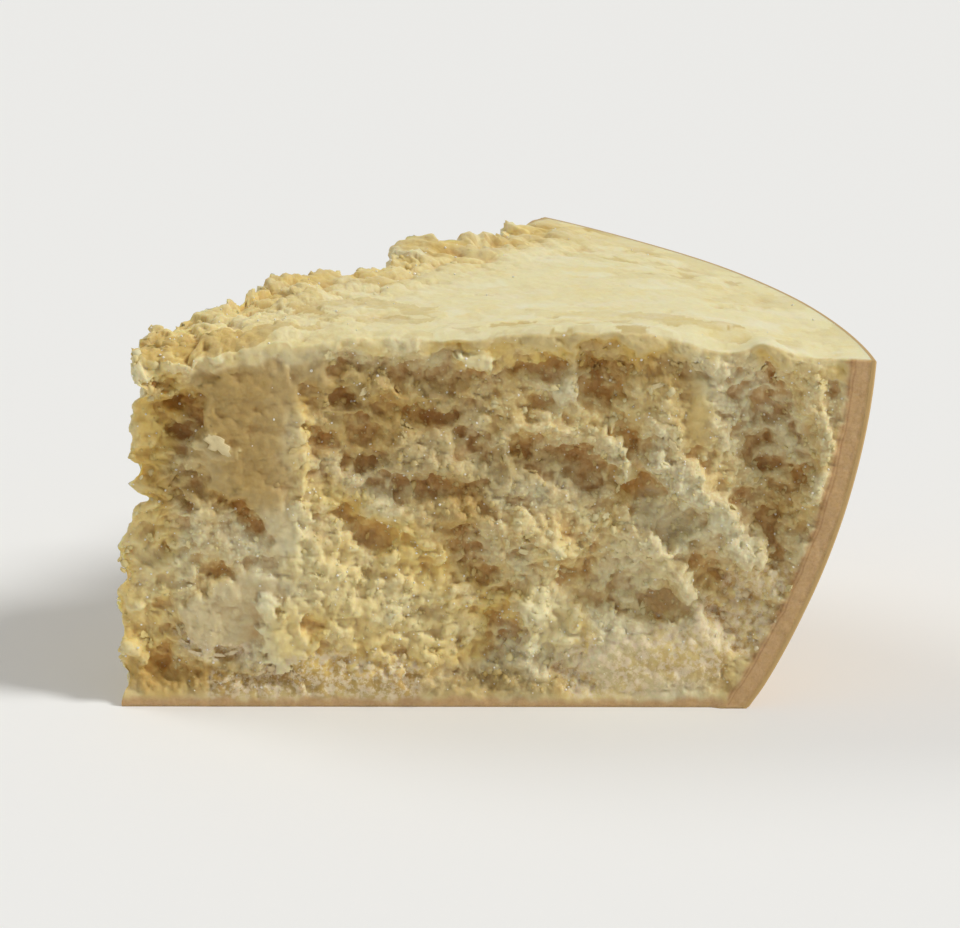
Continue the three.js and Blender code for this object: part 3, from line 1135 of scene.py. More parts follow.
def toned(s: Shader, colour: Socket, shade: str, pale: str) -> Socket:
    """Makes a colour darker or paler by the mesh's tone, from -1 to 1: on the front mostly painted light and
    shade, on the split its own tone.

    Args:
        s: The material.
        colour: The colour.
        shade: What the darkest tone multiplies it with.
        pale: What the palest tone mixes in.

    Returns:
        The toned colour.
    """
    tone = s.value("tone")
    colour = s.mix(s.span(tone, 0, -1), colour, linear(shade), "MULTIPLY")
    return s.mix(s.span(tone, 0, 1, most=MOST_PALE), colour, linear(pale))


@dataclass(frozen=True)
class PasteFinish:
    """Dry, crumbly, pale-yellow paste, waxy where it split flat, with painted shade that turns its hollows
    and the gaps between its grains golden brown, and painted highlights on its crests.
    """

    name: str = "cheese_paste"
    # Pale yellow: the paste's paler patches, and also the painted highlight on crests and the pale end of
    # the tone, which is in part painted light.
    pale: str = "e8e2bb"
    plain: str = "ead799"
    gold: str = "ecd281"
    # The colour of the painted shade in hollows and between grains, and of the darker specks.
    deep: str = "cc9448"
    flat: str = "dfd0a3"
    top: str = "e8dda9"
    top_gold: str = "e7d492"
    top_pale: str = "ece3be"
    frost: str = "eddcb8"
    shade: str = "dccaa4"
    rind_edge: str = "cda96e"
    rind_cut: str = "d3b182"
    rind_line: str = "bf9769"
    rind_soft: str = "dcc48c"
    glow: float = 0.75
    glow_depth: float = 0.0015
    glow_reach: tuple[float, float, float] = (1.0, 0.78, 0.42)
    shine: float = 0.28
    coarse: tuple[float, float] = (430, 0.0018)
    fine: tuple[float, float] = (850, 0.0009)
    fine_share: float = 0.5
    # Painted shade in the gaps between the grains: where it begins, and how dark it gets.
    gap_shade_from: tuple[float, float] = (0.55, 1.25)
    gap: float = 0.27
    heap: float = 0.32
    heap_height: float = 0.0012
    speck_scale: float = 900
    speck_from: tuple[float, float] = (0.35, 0.7)
    speck_height: float = 0.0004
    speck_relief: float = 0.2
    # How far the hollows are painted with shade, and the crests with highlights.
    hollow_start: float = -0.1
    hollow_painted_shade: float = 0.68
    crest_painted_highlight: float = 0.6
    golden_calm: float = 0.5
    speck_deepest: float = 0.07
    band_depth: float = 10.0
    fibre_scale: float = 1100
    fibre_darkest: float = 0.4
    broad: Patches = Patches(45, 3, low=0.35, high=0.65)
    golden_patches: Patches = Patches(60, low=0.2, high=0.6)
    top_golden: Patches = Patches(75, 4, 0.6, 0.5, 0.68, most=0.5)
    top_bloom: Patches = Patches(60, 4, 0.6, 0.52, 0.62, most=0.5)
    gap_shade_patches: Patches = Patches(130, high=0.6, least=0.3)
    frost_patches: Patches = Patches(420, 4, 0.7, 0.42, 0.6)
    band_waver: Patches = Patches(90, least=-0.4, most=0.4)
    band_specks: Patches = Patches(1300, 3, 0.7, 0.4, most=0.22)
    dullness: Patches = Patches(300, least=0.5, most=0.72)

    def material(self) -> bpy.types.Material:
        """Makes the paste's material."""
        s = Shader(self.name)
        speck = s.cloud(self.speck_scale, 3, 0.6)
        coarse, fine = s.kernels(*self.coarse), s.kernels(*self.fine)
        golden = s.sum("MULTIPLY", s.value("golden"), s.patches(self.golden_patches), True)
        sharp = s.sum("MULTIPLY", s.value("rough"), s.span(golden, 0, 1, 1, self.golden_calm))
        # Painted shade in the gaps between the bumped grains, calmer in golden places.
        gap = s.span(s.sum("ADD", coarse, fine), *self.gap_shade_from, most=self.gap)
        gap = s.sum("MULTIPLY", gap, s.sum("MULTIPLY", sharp, s.patches(self.gap_shade_patches)))
        specks = s.span(speck, *self.speck_from, most=self.speck_deepest)
        colour = s.mix(specks, self.body(s, golden), linear(self.deep), "MULTIPLY")
        colour = s.mix(gap, colour, linear(self.deep), "MULTIPLY")
        colour = toned(s, colour, self.shade, self.pale)
        frost = s.sum("MULTIPLY", s.value("frost"), s.patches(self.frost_patches), True)
        colour = s.mix(frost, colour, linear(self.frost))
        colour = s.mix(s.value("rind"), colour, self.band(s))
        fine_domes = s.sum("MULTIPLY", s.sum("MULTIPLY", fine, fine), self.fine_share)
        domes = s.sum("ADD", s.sum("MULTIPLY", coarse, coarse), fine_domes)
        height = s.sum("SUBTRACT", 1.0, s.sum("MULTIPLY", sharp, domes))
        crumb = s.bump(height, self.heap_height, self.heap)
        grain = s.bump(speck, self.speck_height, self.speck_relief, crumb)
        return s.finish(
            colour, s.patches(self.dullness), grain, Specular_IOR_Level=self.shine,
            Subsurface_Weight=self.glow, Subsurface_Radius=self.glow_reach, Subsurface_Scale=self.glow_depth,
        )

    def body(self, s: Shader, golden: Socket) -> Socket:
        """Makes the paste's colour, with its golden stretches and its flat places, painted shade in its
        hollows and painted highlights on its crests.

        Args:
            s: The material.
            golden: How golden the crumb is.

        Returns:
            The colour.
        """
        hollow = s.value("hollow")
        colour = s.mix(s.patches(self.broad), linear(self.plain), linear(self.pale))
        colour = s.mix(golden, colour, linear(self.gold))
        top = s.mix(s.patches(self.top_golden), linear(self.top), linear(self.top_gold))
        top = s.mix(s.patches(self.top_bloom), top, linear(self.top_pale))
        colour = s.mix(s.value("top"), colour, top)
        colour = s.mix(s.value("flat"), colour, linear(self.flat))
        # Painted shade in the hollows and painted highlights on the crests.
        deep = s.span(hollow, self.hollow_start, 1.0, most=self.hollow_painted_shade)
        crest = s.span(hollow, self.hollow_start, -1.0, most=self.crest_painted_highlight)
        return s.mix(crest, s.mix(deep, colour, linear(self.deep)), linear(self.pale))

    def band(self, s: Shader) -> Socket:
        """Makes the colour of the cut rind's band, from its amber edge to the soft paste inside it."""
        depth = s.sum("ADD", s.value("rind_depth"), s.patches(self.band_waver))
        band = s.ramp(s.sum("DIVIDE", depth, self.band_depth, True), [
            (0.0, self.rind_edge), (0.12, self.rind_edge), (0.3, self.rind_cut), (0.64, self.rind_cut),
            (0.69, self.rind_line), (0.74, self.rind_cut), (0.8, self.rind_line), (0.86, self.rind_cut),
            (1.0, self.rind_soft),
        ])
        fibres = s.span(s.fibres(self.fibre_scale), 0.4, 0.7, most=self.fibre_darkest)
        band = s.mix(fibres, band, linear(self.rind_edge))
        return s.mix(s.patches(self.band_specks), band, linear(self.rind_line), "MULTIPLY")


@dataclass(frozen=True)
class CrumbFinish:
    """The paste's colours on its loose crumbs and flakes, each a little different, with the paste's painted
    shade in hollows and its painted light and shade by tone.
    """

    name: str = "cheese_crumb"
    pale: str = "e9dfb2"
    plain: str = "e6d494"
    gold: str = "e8ce7e"
    top: str = "eee2b0"
    deep: str = "cba058"
    frost: str = "eddcb8"
    flat: str = "dfc996"
    shade: str = "dccaa4"
    most_gold: float = 0.7
    most_flat: float = 0.85
    most_frost: float = 0.7
    hollow_painted_shade: float = 0.45
    shine: float = 0.3
    grain_height: float = 0.0003
    grain_relief: float = 0.35
    specks: Patches = Patches(900, 3, 0.6, 0.35, most=0.12)
    dullness: Patches = Patches(300, least=0.45, most=0.65)

    def material(self) -> bpy.types.Material:
        """Makes the crumbs' material."""
        s = Shader(self.name)
        colour = s.mix(s.value("own"), linear(self.plain), linear(self.pale))
        colour = s.mix(s.sum("MULTIPLY", s.value("golden"), self.most_gold), colour, linear(self.gold))
        colour = s.mix(s.value("top"), colour, linear(self.top))
        colour = s.mix(s.sum("MULTIPLY", s.value("flat"), self.most_flat), colour, linear(self.flat))
        # Painted shade in hollows, and painted light and shade by the tone.
        deep = s.span(s.value("hollow"), 0.1, 1.0, most=self.hollow_painted_shade)
        colour = s.mix(deep, colour, linear(self.deep))
        colour = toned(s, colour, self.shade, self.pale)
        colour = s.mix(s.sum("MULTIPLY", s.value("frost"), self.most_frost), colour, linear(self.frost))
        colour = s.mix(s.patches(self.specks), colour, linear(self.deep), "MULTIPLY")
        grain = s.bump(s.cloud(1300, 3, 0.6), self.grain_height, self.grain_relief)
        return s.finish(colour, s.patches(self.dullness), grain, Specular_IOR_Level=self.shine)


@dataclass(frozen=True)
class CrystalFinish:
    """Hard white crystals that glint."""

    name: str = "cheese_crystal"
    tone: str = "fbf7ea"
    shade: str = "ece3cc"
    shine: float = 0.6
    cloudiness: Patches = Patches(2500)
    dullness: Patches = Patches(1800, least=0.15, most=0.4)

    def material(self) -> bpy.types.Material:
        """Makes the crystals' material."""
        s = Shader(self.name)
        colour = s.mix(s.patches(self.cloudiness), linear(self.shade), linear(self.tone))
        return s.finish(colour, s.patches(self.dullness), Specular_IOR_Level=self.shine)


@dataclass(frozen=True)
class RindFinish:
    """Amber, waxy rind with a pressed net and pricked dots."""

    name: str = "cheese_rind"
    light: str = "dcbc74"
    amber: str = "c99b48"
    dark: str = "a06e2c"
    prick: str = "6b4322"
    cut: str = "c8a468"
    net_darkest: float = 0.3
    shine: float = 0.45
    wax: float = 0.12
    wax_dullness: float = 0.35
    pore_height: float = 0.0003
    pore_relief: float = 0.5
    amber_patches: Patches = Patches(28, 4, 0.6)
    dark_patches: Patches = Patches(110, 4, 0.65, 0.5, 0.8, most=0.5)
    dullness: Patches = Patches(90, 3, least=0.38, most=0.58)

    def material(self) -> bpy.types.Material:
        """Makes the rind's material."""
        s = Shader(self.name)
        colour = s.mix(s.patches(self.amber_patches), linear(self.light), linear(self.amber))
        colour = s.mix(s.patches(self.dark_patches), colour, linear(self.dark))
        colour = s.mix(s.span(s.value("net"), 0.2, 1.0, most=self.net_darkest), colour, linear(self.dark))
        colour = s.mix(s.value("prick"), colour, linear(self.prick))
        colour = s.mix(s.value("cut"), colour, linear(self.cut))
        pores = s.bump(s.cloud(700, 3, 0.6), self.pore_height, self.pore_relief)
        return s.finish(
            colour, s.patches(self.dullness), pores, Specular_IOR_Level=self.shine, Coat_Weight=self.wax,
            Coat_Roughness=self.wax_dullness,
        )


@dataclass(frozen=True)
class FloorFinish:
    """The studio's plain pale floor."""

    name: str = "studio_floor"
    tone: str = "f2f1ee"
    dullness: float = 0.85

    def material(self) -> bpy.types.Material:
        """Makes the floor's material."""
        return Shader(self.name).finish(linear(self.tone), self.dullness)


@dataclass(frozen=True)
class Ground:
    """The finished paste's surface: one row or number for each vertex, in millimetres."""

    places: Array
    normals: Array
    areas: Array
    rough: Array
    sides: dict[Side, Array]
    values: dict[str, Array]

    def dress(self, at: Array) -> dict[str, Array]:
        """Reads the numbers that a small piece's finish takes over from the paste.

        Args:
            at: The vertices that the small pieces stand on.

        Returns:
            One number for each small piece, by name.
        """
        # These carry the paste's painted shade in hollows, its painted light and shade by tone and the top
        # edge's painted glow.
        return {name: self.values[name][at] for name in ("golden", "top", "hollow", "frost", "flat", "tone")}

    def seated(self, rng: np.random.Generator, at: Array, shapes: Array, proud: Array) -> Array:
        """Turns small shapes every way and sets them on the ground.

        Args:
            rng: The source of random numbers.
            at: The vertices that they stand on.
            shapes: Each shape's vertices round its own middle.
            proud: How far each shape's middle stands out of the ground.

        Returns:
            Each shape's vertices on the ground.
        """
        middles = self.places[at] + self.normals[at] * proud
        return middles[:, None, :] + shapes @ any_turns(rng, len(at))


@dataclass(frozen=True)
class Crumbs:
    """Broken grains that stick to one crumbled side."""

    name: str
    side: Side
    count: int
    seed: int
    smallest: float = 0.8
    largest: float = 2.8
    spread: float = 14.0
    gathering: float = 1.6
    unevenness: float = 0.9
    stretch: tuple[float, float] = (0.6, 1.6)
    standing_out: tuple[float, float] = (-1.0, -0.3)

    def build(self, ground: Ground, finish: CrumbFinish) -> bpy.types.Object:
        """Makes and dresses the crumbs.

        Args:
            ground: The paste's surface.
            finish: The crumbs' finish.

        Returns:
            The piece.
        """
        rng = np.random.default_rng(self.seed)
        coarse = 0.5 + 0.5 * noise(self.seed, *(ground.places.T / self.spread))
        gathered = 1 + self.gathering * np.maximum(0, ground.values["hollow"])
        weights = ground.sides[self.side] * ground.areas * ground.rough**4 * (0.2 + coarse) * gathered
        at = picked(rng, weights, self.count)
        growth = rng.random(self.count) ** 2 * (0.3 + 0.9 * coarse[at])
        radius = (self.smallest + (self.largest - self.smallest) * growth)[:, None] / 2
        corners, faces = ball()
        shapes = corners * (1 + self.unevenness * (rng.random((self.count, len(corners), 1)) - 0.5))
        shapes = shapes * (radius * rng.uniform(*self.stretch, (self.count, 3)))[:, None, :]
        proud = radius * rng.uniform(*self.standing_out, (self.count, 1))
        copies = ground.seated(rng, at, shapes, proud)
        mesh = joined(self.name, copies, faces, ground.dress(at) | {"own": rng.random(self.count)})
        mesh.shade_smooth()
        return new_piece(mesh, finish.material())


@dataclass(frozen=True)
class Crystals:
    """Tiny white crystals scattered over the broken paste."""

    count: int = 2200
    seed: int = 5
    smallest: float = 0.3
    largest: float = 0.9
    standing_out: float = 0.4

    def build(self, ground: Ground, finish: CrystalFinish) -> bpy.types.Object:
        """Makes and dresses the crystals.

        Args:
            ground: The paste's surface.
            finish: The crystals' finish.

        Returns:
            The piece.
        """
        rng = np.random.default_rng(self.seed)
        shown = ground.sides[Side.FRONT] | ground.sides[Side.TOP] | ground.sides[Side.BACK]
        weights = shown * ground.areas * np.maximum(0.02, ground.rough - 0.1)
        at = picked(rng, weights, self.count)
        radius = (self.smallest + (self.largest - self.smallest) * rng.random(self.count) ** 2)[:, None] / 2
        corners, faces = ball()
        shapes = corners * (radius * (0.7 + 0.6 * rng.random((self.count, 3))))[:, None, :]
        copies = ground.seated(rng, at, shapes, radius * self.standing_out)
        return new_piece(joined("crystals", copies, faces, {}), finish.material())


@dataclass(frozen=True)
class Flakes:
    """Thin broken plates: the large ones by name, and small ones scattered over the front."""

    small_count: int = 70
    seed: int = 9
    segments: int = 22
    rings: int = 6
    smallest: float = 1.4
    largest: float = 3.2
    slimness: tuple[float, float] = (0.4, 0.8)
    most_curl: float = 0.5
    lean: float = 0.35
    standing_out: float = 0.35
    thickness: float = 0.3
    unevenness: float = 0.35

    def shapes(
        self, rng: np.random.Generator, length: Array, width: Array, curl: Array
    ) -> tuple[Array, Array]:
        """Makes ragged plates that lie in their own plane.

        Args:
            rng: The source of random numbers.
            length: The plates' lengths.
            width: The plates' widths.
            curl: How far the plates' edges rise.

        Returns:
            Each plate's vertices, and the triangles of one.
        """
        bm = bmesh.new()
        bmesh.ops.create_uvsphere(bm, u_segments=self.segments, v_segments=self.rings, radius=1.0)
        corners, faces = shape_of(bm)
        a, b, c = corners.T
        bearing = np.stack([a, b]) / np.maximum(np.hypot(a, b), 1e-6)
        own = rng.uniform(0, 99, len(length))[:, None]
        ragged = 1 + 0.35 * noise(self.seed, 1.7 * bearing[0] + own, 1.7 * bearing[1] + own)
        ragged = ragged + 0.3 * noise(self.seed + 1, 3.8 * bearing[0] + own, 3.8 * bearing[1] + own)
        from_middle = np.hypot(a, b)
        uneven = self.unevenness * noise(self.seed + 2, 2.4 * a + own, 2.4 * b + own)
        plates = np.stack([
            ragged * a * length[:, None] / 2,
            ragged * b * width[:, None] / 2,
            self.thickness * c + uneven + curl[:, None] * from_middle**2,
        ], axis=2)
        return plates, faces

    @staticmethod
    def named(ground: Ground) -> tuple[Array, ...]:
        """Lays the large flakes on the front.

        Args:
            ground: The paste's surface.

        Returns:
            The vertices that they lie on, and their middles, facings, lengths, widths, curls and spins.
        """
        x, z, length, width, turn, curl, proud, right, up = np.array(LARGE_FLAKES).T
        front = ground.sides[Side.FRONT]
        spots = np.hypot(ground.places[:, 0] - x[:, None], ground.places[:, 2] - z[:, None])
        nearest = np.where(front, spots, np.inf).argmin(axis=1)
        middles = ground.places[nearest]
        for n, (spot, reach) in enumerate(zip(spots, 0.45 * np.minimum(length, width))):
            middles[n, 1] = ground.places[front & (spot < reach), 1].mean() - proud[n]
        facing = np.stack([right, 0 * x - 1, up], axis=1)
        facing /= np.linalg.norm(facing, axis=1, keepdims=True)
        return nearest, middles, facing, length, width, curl, np.radians(turn)

    def small(self, rng: np.random.Generator, ground: Ground) -> tuple[Array, ...]:
        """Scatters the small flakes over the front's crumb.

        Args:
            rng: The source of random numbers.
            ground: The paste's surface.

        Returns:
            The vertices that they lie on, and their middles, facings, lengths, widths, curls and spins.
        """
        count = self.small_count
        at = picked(rng, ground.sides[Side.FRONT] * ground.areas * ground.rough**2, count)
        length = rng.uniform(self.smallest, self.largest, count)
        width = length * rng.uniform(*self.slimness, count)
        curl = rng.uniform(0, self.most_curl, count)
        facing = ground.normals[at] + self.lean * (rng.random((count, 3)) - 0.5)
        facing /= np.linalg.norm(facing, axis=1, keepdims=True)
        middles = ground.places[at] + self.standing_out * facing
        return at, middles, facing, length, width, curl, rng.uniform(0, math.tau, count)

    def build(self, ground: Ground, finish: CrumbFinish) -> bpy.types.Object:
        """Makes and dresses the flakes.

        Args:
            ground: The paste's surface.
            finish: The flakes' finish.

        Returns:
            The piece.
        """
        rng = np.random.default_rng(self.seed)
        both = zip(self.named(ground), self.small(rng, ground))
        at, middles, facing, length, width, curl, spin = (np.concatenate(pair) for pair in both)
        plates, faces = self.shapes(rng, length, width, curl)
        copies = middles[:, None, :] + plates @ seats(facing, spin).transpose(0, 2, 1)
        values = ground.dress(at) | {"own": 0.2 + 0.6 * rng.random(len(at))}
        for name, number in NAMED_FLAKE_LOOK.items():
            values[name][: len(LARGE_FLAKES)] = number
        mesh = joined("flakes", copies, faces, values)
        mesh.shade_smooth()
        return new_piece(mesh, finish.material())


LIP_COVER = 0.9


@dataclass(frozen=True)
class Grain:
    """One size of the paste's grains: its size and height, how domed the grains are, and its seed."""

    size: float
    height: float
    dome: float
    seed: int


@dataclass(frozen=True)
class Paste:
    """The broken body of the chunk, all but its outer rind."""

    fracture: Fracture = Fracture()
    cells: tuple[int, int, int] = (98, 28, 50)
    rind_inset: float = 0.8
    grains: tuple[Grain, ...] = (
        Grain(6.4, 2.0, 1.1, 71), Grain(3.0, 1.15, 1.6, 81), Grain(1.9, 0.5, 2.0, 91),
    )
    grain_flatness: float = 1.3
    grain_warp: float = 0.3
    softness: float = 0.4
    tip_softness: float = 0.9
    soft_tip: tuple[float, float] = (2.0, 7.0)
    smooth_edge: float = 2.2
    least_rough: float = 0.12
    flat_calm: float = 0.7
    lip_calm: float = 0.5
    top_rough: float = 0.1
    crumbled_top_rough: float = 0.6
    top_rind_rough: float = 0.15
    # How many rounds smooth the surface that a hollow is measured from, how deep it is then at most, and
    # how much that measure counts.
    hollow_steps: Layers = ((8, 0.8, 0.18), (80, 3.2, 0.82))
    hollow_foot: tuple[float, float] = (3.0, 11.0)
    foot_roughness_layers: Layers = ((1.2, 3, 3),)
    rind_layers: Layers = ((0.9, 3, 2.4), (0.5, 1.6, 1.4))
    foot_layers: Layers = ((0.8, 5, 5), (0.6, 1.7, 1.7))
    rind_band: tuple[float, float] = (7.8, 10.0)
    foot_band: tuple[float, float] = (1.2, 3.6)
    foot_look: float = 4.0
    top_lip: float = 12.0
    front_contrast: float = 1.25
    tone_reach: float = 1.25
    # The front's rounded top edge carries a painted glow: painted paler on the left, turning darker to the
    # right.
    lip_painted_glow: float = 0.45
    lip_fall: float = 0.9
    lip_fall_from: tuple[float, float] = (65.0, 100.0)
    shard_tone: float = 0.15
    pale_shard_tone: float = 0.5
    pale_shard_crumb: float = 0.6
    top_contrast: float = 0.9
    top_tip_tone: float = 0.2
    back_hollow: float = 0.5
    pale_shards: tuple[float, float] = (32.0, 36.0)

    def grid(self) -> tuple[bpy.types.Mesh, Array]:
        """Makes the box that the body is shaped from.

        Returns:
            The mesh and its vertices' places in the box.
        """
        bm = box_grid(self.cells)
        refine(bm, {Side.FRONT: (0, 2), Side.TOP: (0, 1), Side.TIP: (2,)}, 2)
        refine(bm, {Side.BACK: (0, 2)}, 1, rim=False)
        merge_side(bm, Side.BASE)
        bmesh.ops.triangulate(bm, faces=[f for f in bm.faces if len(f.verts) > 4])
        mesh = new_mesh("cheese_paste", bm)
        return mesh, mesh_places(mesh)

    def roughness(self, unit: Array, places: Array) -> Array:
        """Says how crumbled each place is.

        Args:
            unit: The places in the box.
            places: The places on the chunk.

        Returns:
            0 where a place is smooth and 1 where it is crumbled.
        """
        f = self.fracture
        x, y, z = places.T
        a, b = f.wander(x, z)
        from_rind = f.wedge.wheel.rind_radius(z) - np.hypot(x, y)
        off_rind = rise(from_rind, f.rind_band - 1, f.rind_band + 2)
        over_foot = shifted(z, 16, self.foot_roughness_layers, x, y)
        over_foot = rise(over_foot, f.base_band - 1, f.base_band + 4)
        pitted = rise(f.bowls(a, b, FRONT_HOLLOWS + FRONT_PITS), 1, 3)
        lip = f.lip(x, z) * (1 - pitted)
        flat = np.maximum(f.flats(a, b)[0], f.shards(x, z)[0])
        _, from_back, _, _ = f.back_frame(x, y, z)
        top = self.top_rough + self.crumbled_top_rough * f.crumbled_top(x, y, from_back)
        top = top * (self.top_rind_rough + (1 - self.top_rind_rough) * off_rind)
        rough = self.least_rough + (1 - self.least_rough) * off_rind * over_foot
        front = (1 - self.flat_calm * flat) * (1 - self.lip_calm * lip) * rough
        rough = np.where(Side.TOP.holds(unit), top, rough)
        rough = np.where(Side.FRONT.holds(unit), front, rough)
        rough = np.where(Side.RIND.holds(unit) | (from_rind < self.smooth_edge), 0.0, rough)
        return np.where(Side.BASE.holds(unit), 0.0, rough)

    def crumble(self, mesh: bpy.types.Mesh, places: Array, rough: Array) -> Array:
        """Adds lumps, crumbs and grains, each standing on the form under it.

        Args:
            mesh: The mesh, which is moved.
            places: Its vertices' places.
            rough: How crumbled each place is.

        Returns:
            The new places.
        """
        for grain in self.grains:
            move_mesh(mesh, places)
            normals = neighbour_mean(mesh, mesh_normals(mesh), 2)
            scaled = places / grain.size * np.array([1.0, 1.0, self.grain_flatness])
            warp = [noise(grain.seed + n, *(scaled.T * 1.3)) for n in (11, 12, 13)]
            near, facet, own, _ = grains(grain.seed, scaled + self.grain_warp * np.stack(warp, axis=1))
            chip = (own - 0.5) + 0.6 * facet + grain.dome * (0.25 - near**2)
            places = places + normals * (grain.height * rough * chip)[:, None]
        softer = neighbour_mean(mesh, places, 1)
        on_tip = 1 - rise(places[:, 0], *self.soft_tip)
        softness = self.softness + (self.tip_softness - self.softness) * on_tip
        return places + (softness * rough)[:, None] * (softer - places)

    def build(self, finish: PasteFinish) -> tuple[bpy.types.Object, Ground]:
        """Makes and dresses the body.

        Args:
            finish: The paste's finish.

        Returns:
            The piece, and its surface for the small pieces that stick to it.
        """
        mesh, unit = self.grid()
        places = self.fracture.broken(unit, self.rind_inset)
        rough = self.roughness(unit, places)
        base = Side.BASE.holds(unit)
        places = self.crumble(mesh, places, rough)
        places[base, 2] = 0
        places[:, 2] = np.maximum(places[:, 2], 0)
        move_mesh(mesh, places)
        values = self.values(mesh, unit, places) | {"rough": rough}
        add_values(mesh, values)
        sides = {side: side.holds(unit) & ~base for side in Side}
        sides[Side.TOP] &= ~sides[Side.FRONT]
        ground = Ground(places, mesh_normals(mesh), vertex_areas(mesh), rough, sides, values)
        move_mesh(mesh, to_part(places))
        mesh.shade_smooth()
        return new_piece(mesh, finish.material()), ground

    def hollow(self, mesh: bpy.types.Mesh, unit: Array, places: Array) -> Array:
        """Works out how deep in a hollow each place lies; the finishes paint shade in hollows and highlights
        on crests by it.

        Args:
            mesh: The finished mesh, in millimetres.
            unit: The vertices' places in the box.
            places: The vertices' places on the chunk.

        Returns:
            1 deep in a hollow, and -1 on a crest.
        """
        normals = neighbour_mean(mesh, mesh_normals(mesh), 3)
        hollow = 0.0
        for rounds, depth, share in self.hollow_steps:
            under = ((neighbour_mean(mesh, places, rounds) - places) * normals).sum(axis=1)
            hollow = hollow + under / depth * share
        edge = np.minimum(rise(places[:, 2], *self.hollow_foot), 1 - Side.BASE.holds(unit))
        return np.clip(hollow, -1, 1) * edge * np.where(Side.BACK.holds(unit), self.back_hollow, 1)

    def bands(self, unit: Array, places: Array) -> dict[str, Array]:
        """Works out where the cut rind and the foot's like band show, and how deep they lie.

        Args:
            unit: The vertices' places in the box.
            places: The vertices' places on the chunk.

        Returns:
            One number for each vertex, by name.
        """
        x, y, z = places.T
        cut = Side.FRONT.holds(unit) | Side.BACK.holds(unit)
        from_rind = self.fracture.wedge.wheel.rind_radius(z) - np.hypot(x, y)
        rind = cut * (1 - rise(shifted(from_rind, 13, self.rind_layers, x, z), *self.rind_band))
        foot = 1 - rise(shifted(z, 12, self.foot_layers, x, y, step=3), *self.foot_band)
        foot = (cut | Side.TIP.holds(unit)) * foot
        depth = np.where(foot > rind, self.foot_look, from_rind)
        return {"rind": np.maximum(rind, foot), "rind_depth": depth}

    def front_light_and_tone(self, x: Array, a: Array, b: Array, lip: Array, on_shard: Array) -> Array:
        """Works out how pale or dark the front is painted: mostly broad painted light and shade, in part the
        paste's own tone, with a painted glow on its rounded top edge.

        Args:
            x: The places' x.
            a: Their x once it is shifted to make strokes ragged.
            b: Their height once it is shifted so.
            lip: How far up the rounded top edge they lie.
            on_shard: 1 on a shard.

        Returns:
            The tone, from dark at -1 to pale at 1.
        """
        # Painted light and shade over the front's broad relief, in part the paste's own tone.
        tones = [mark.depth * fade(mark.distance(a, b), self.tone_reach) for mark in FRONT_PAINTED_LIGHT_AND_TONES]
        tone = self.front_contrast * np.sum(tones, axis=0) * (1 - LIP_COVER * lip)
        # Painted glow on the rounded top edge: paler on the left, darker to the right.
        tone += (self.lip_painted_glow - self.lip_fall * rise(x, *self.lip_fall_from)) * lip
        tone += self.shard_tone * on_shard
        pale_shard = on_shard * rise(x, *self.pale_shards)
        return tone * (1 - pale_shard) + self.pale_shard_tone * pale_shard

    def top_tone(self, x: Array, y: Array) -> Array:
        """Works out how pale or dark the split is, from -1 to 1, by its plates, chips and pale flakes."""
        f = self.fracture
        a, b = f.wander(x, y)
        pale = np.max([mark.depth * mark.share(a, b, 0.5, 1.2) for mark in TOP_PALE], axis=0)
        tone = self.top_contrast * (f.plates(x, y) - 0.5) - self.top_contrast * f.chips(x, y) + pale
        return tone - self.top_tip_tone * fade(np.hypot(x, y), f.crumbled_tip)

    def values(self, mesh: bpy.types.Mesh, unit: Array, places: Array) -> dict[str, Array]:
        """Works out what the paste's finish reads.

        Args:
            mesh: The finished mesh, in millimetres.
            unit: The vertices' places in the box.
            places: The vertices' places on the chunk.

        Returns:
            One number for each vertex, by name.
        """
        f = self.fracture
        x, y, z = places.T
        a, b = f.wander(x, z)
        on_front = Side.FRONT.holds(unit)
        on_top = Side.TOP.holds(unit) & ~on_front
        crumbled = f.crumbled_top(x, y, f.back_frame(x, y, z)[1])
        # The front's top edge and the split's strip along it carry a painted glow, paler and golden.
        lip = np.maximum(on_front * f.lip(x, z), on_top * fade(np.maximum(0, y), self.top_lip))
        on_shard = f.shards(x, z)[0]
        plain_shard = 1 - self.pale_shard_crumb * on_shard * rise(x, *self.pale_shards)
        tone = on_front * self.front_light_and_tone(x, a, b, lip, on_shard) + on_top * self.top_tone(x, y)
        frost, golden = (
            on_front * np.max([mark.share(a, b, 0.6, 1.15) for mark in marks], axis=0)
            for marks in (FROST, GOLDEN)
        )
        return {
            "hollow": self.hollow(mesh, unit, places),
            "flat": on_front * f.flats(a, b, FRONT_PATCHES)[0] * plain_shard * (1 - LIP_COVER * lip),
            "frost": frost,
            # golden takes in the golden crumb, the painted glow of the top edge and the crumbled split.
            "golden": np.maximum.reduce([golden, lip, on_top * 0.9 * crumbled]),
            "tone": np.clip(tone, -1, 1),
            "top": on_top * (1 - 0.95 * crumbled),
        } | self.bands(unit, places)


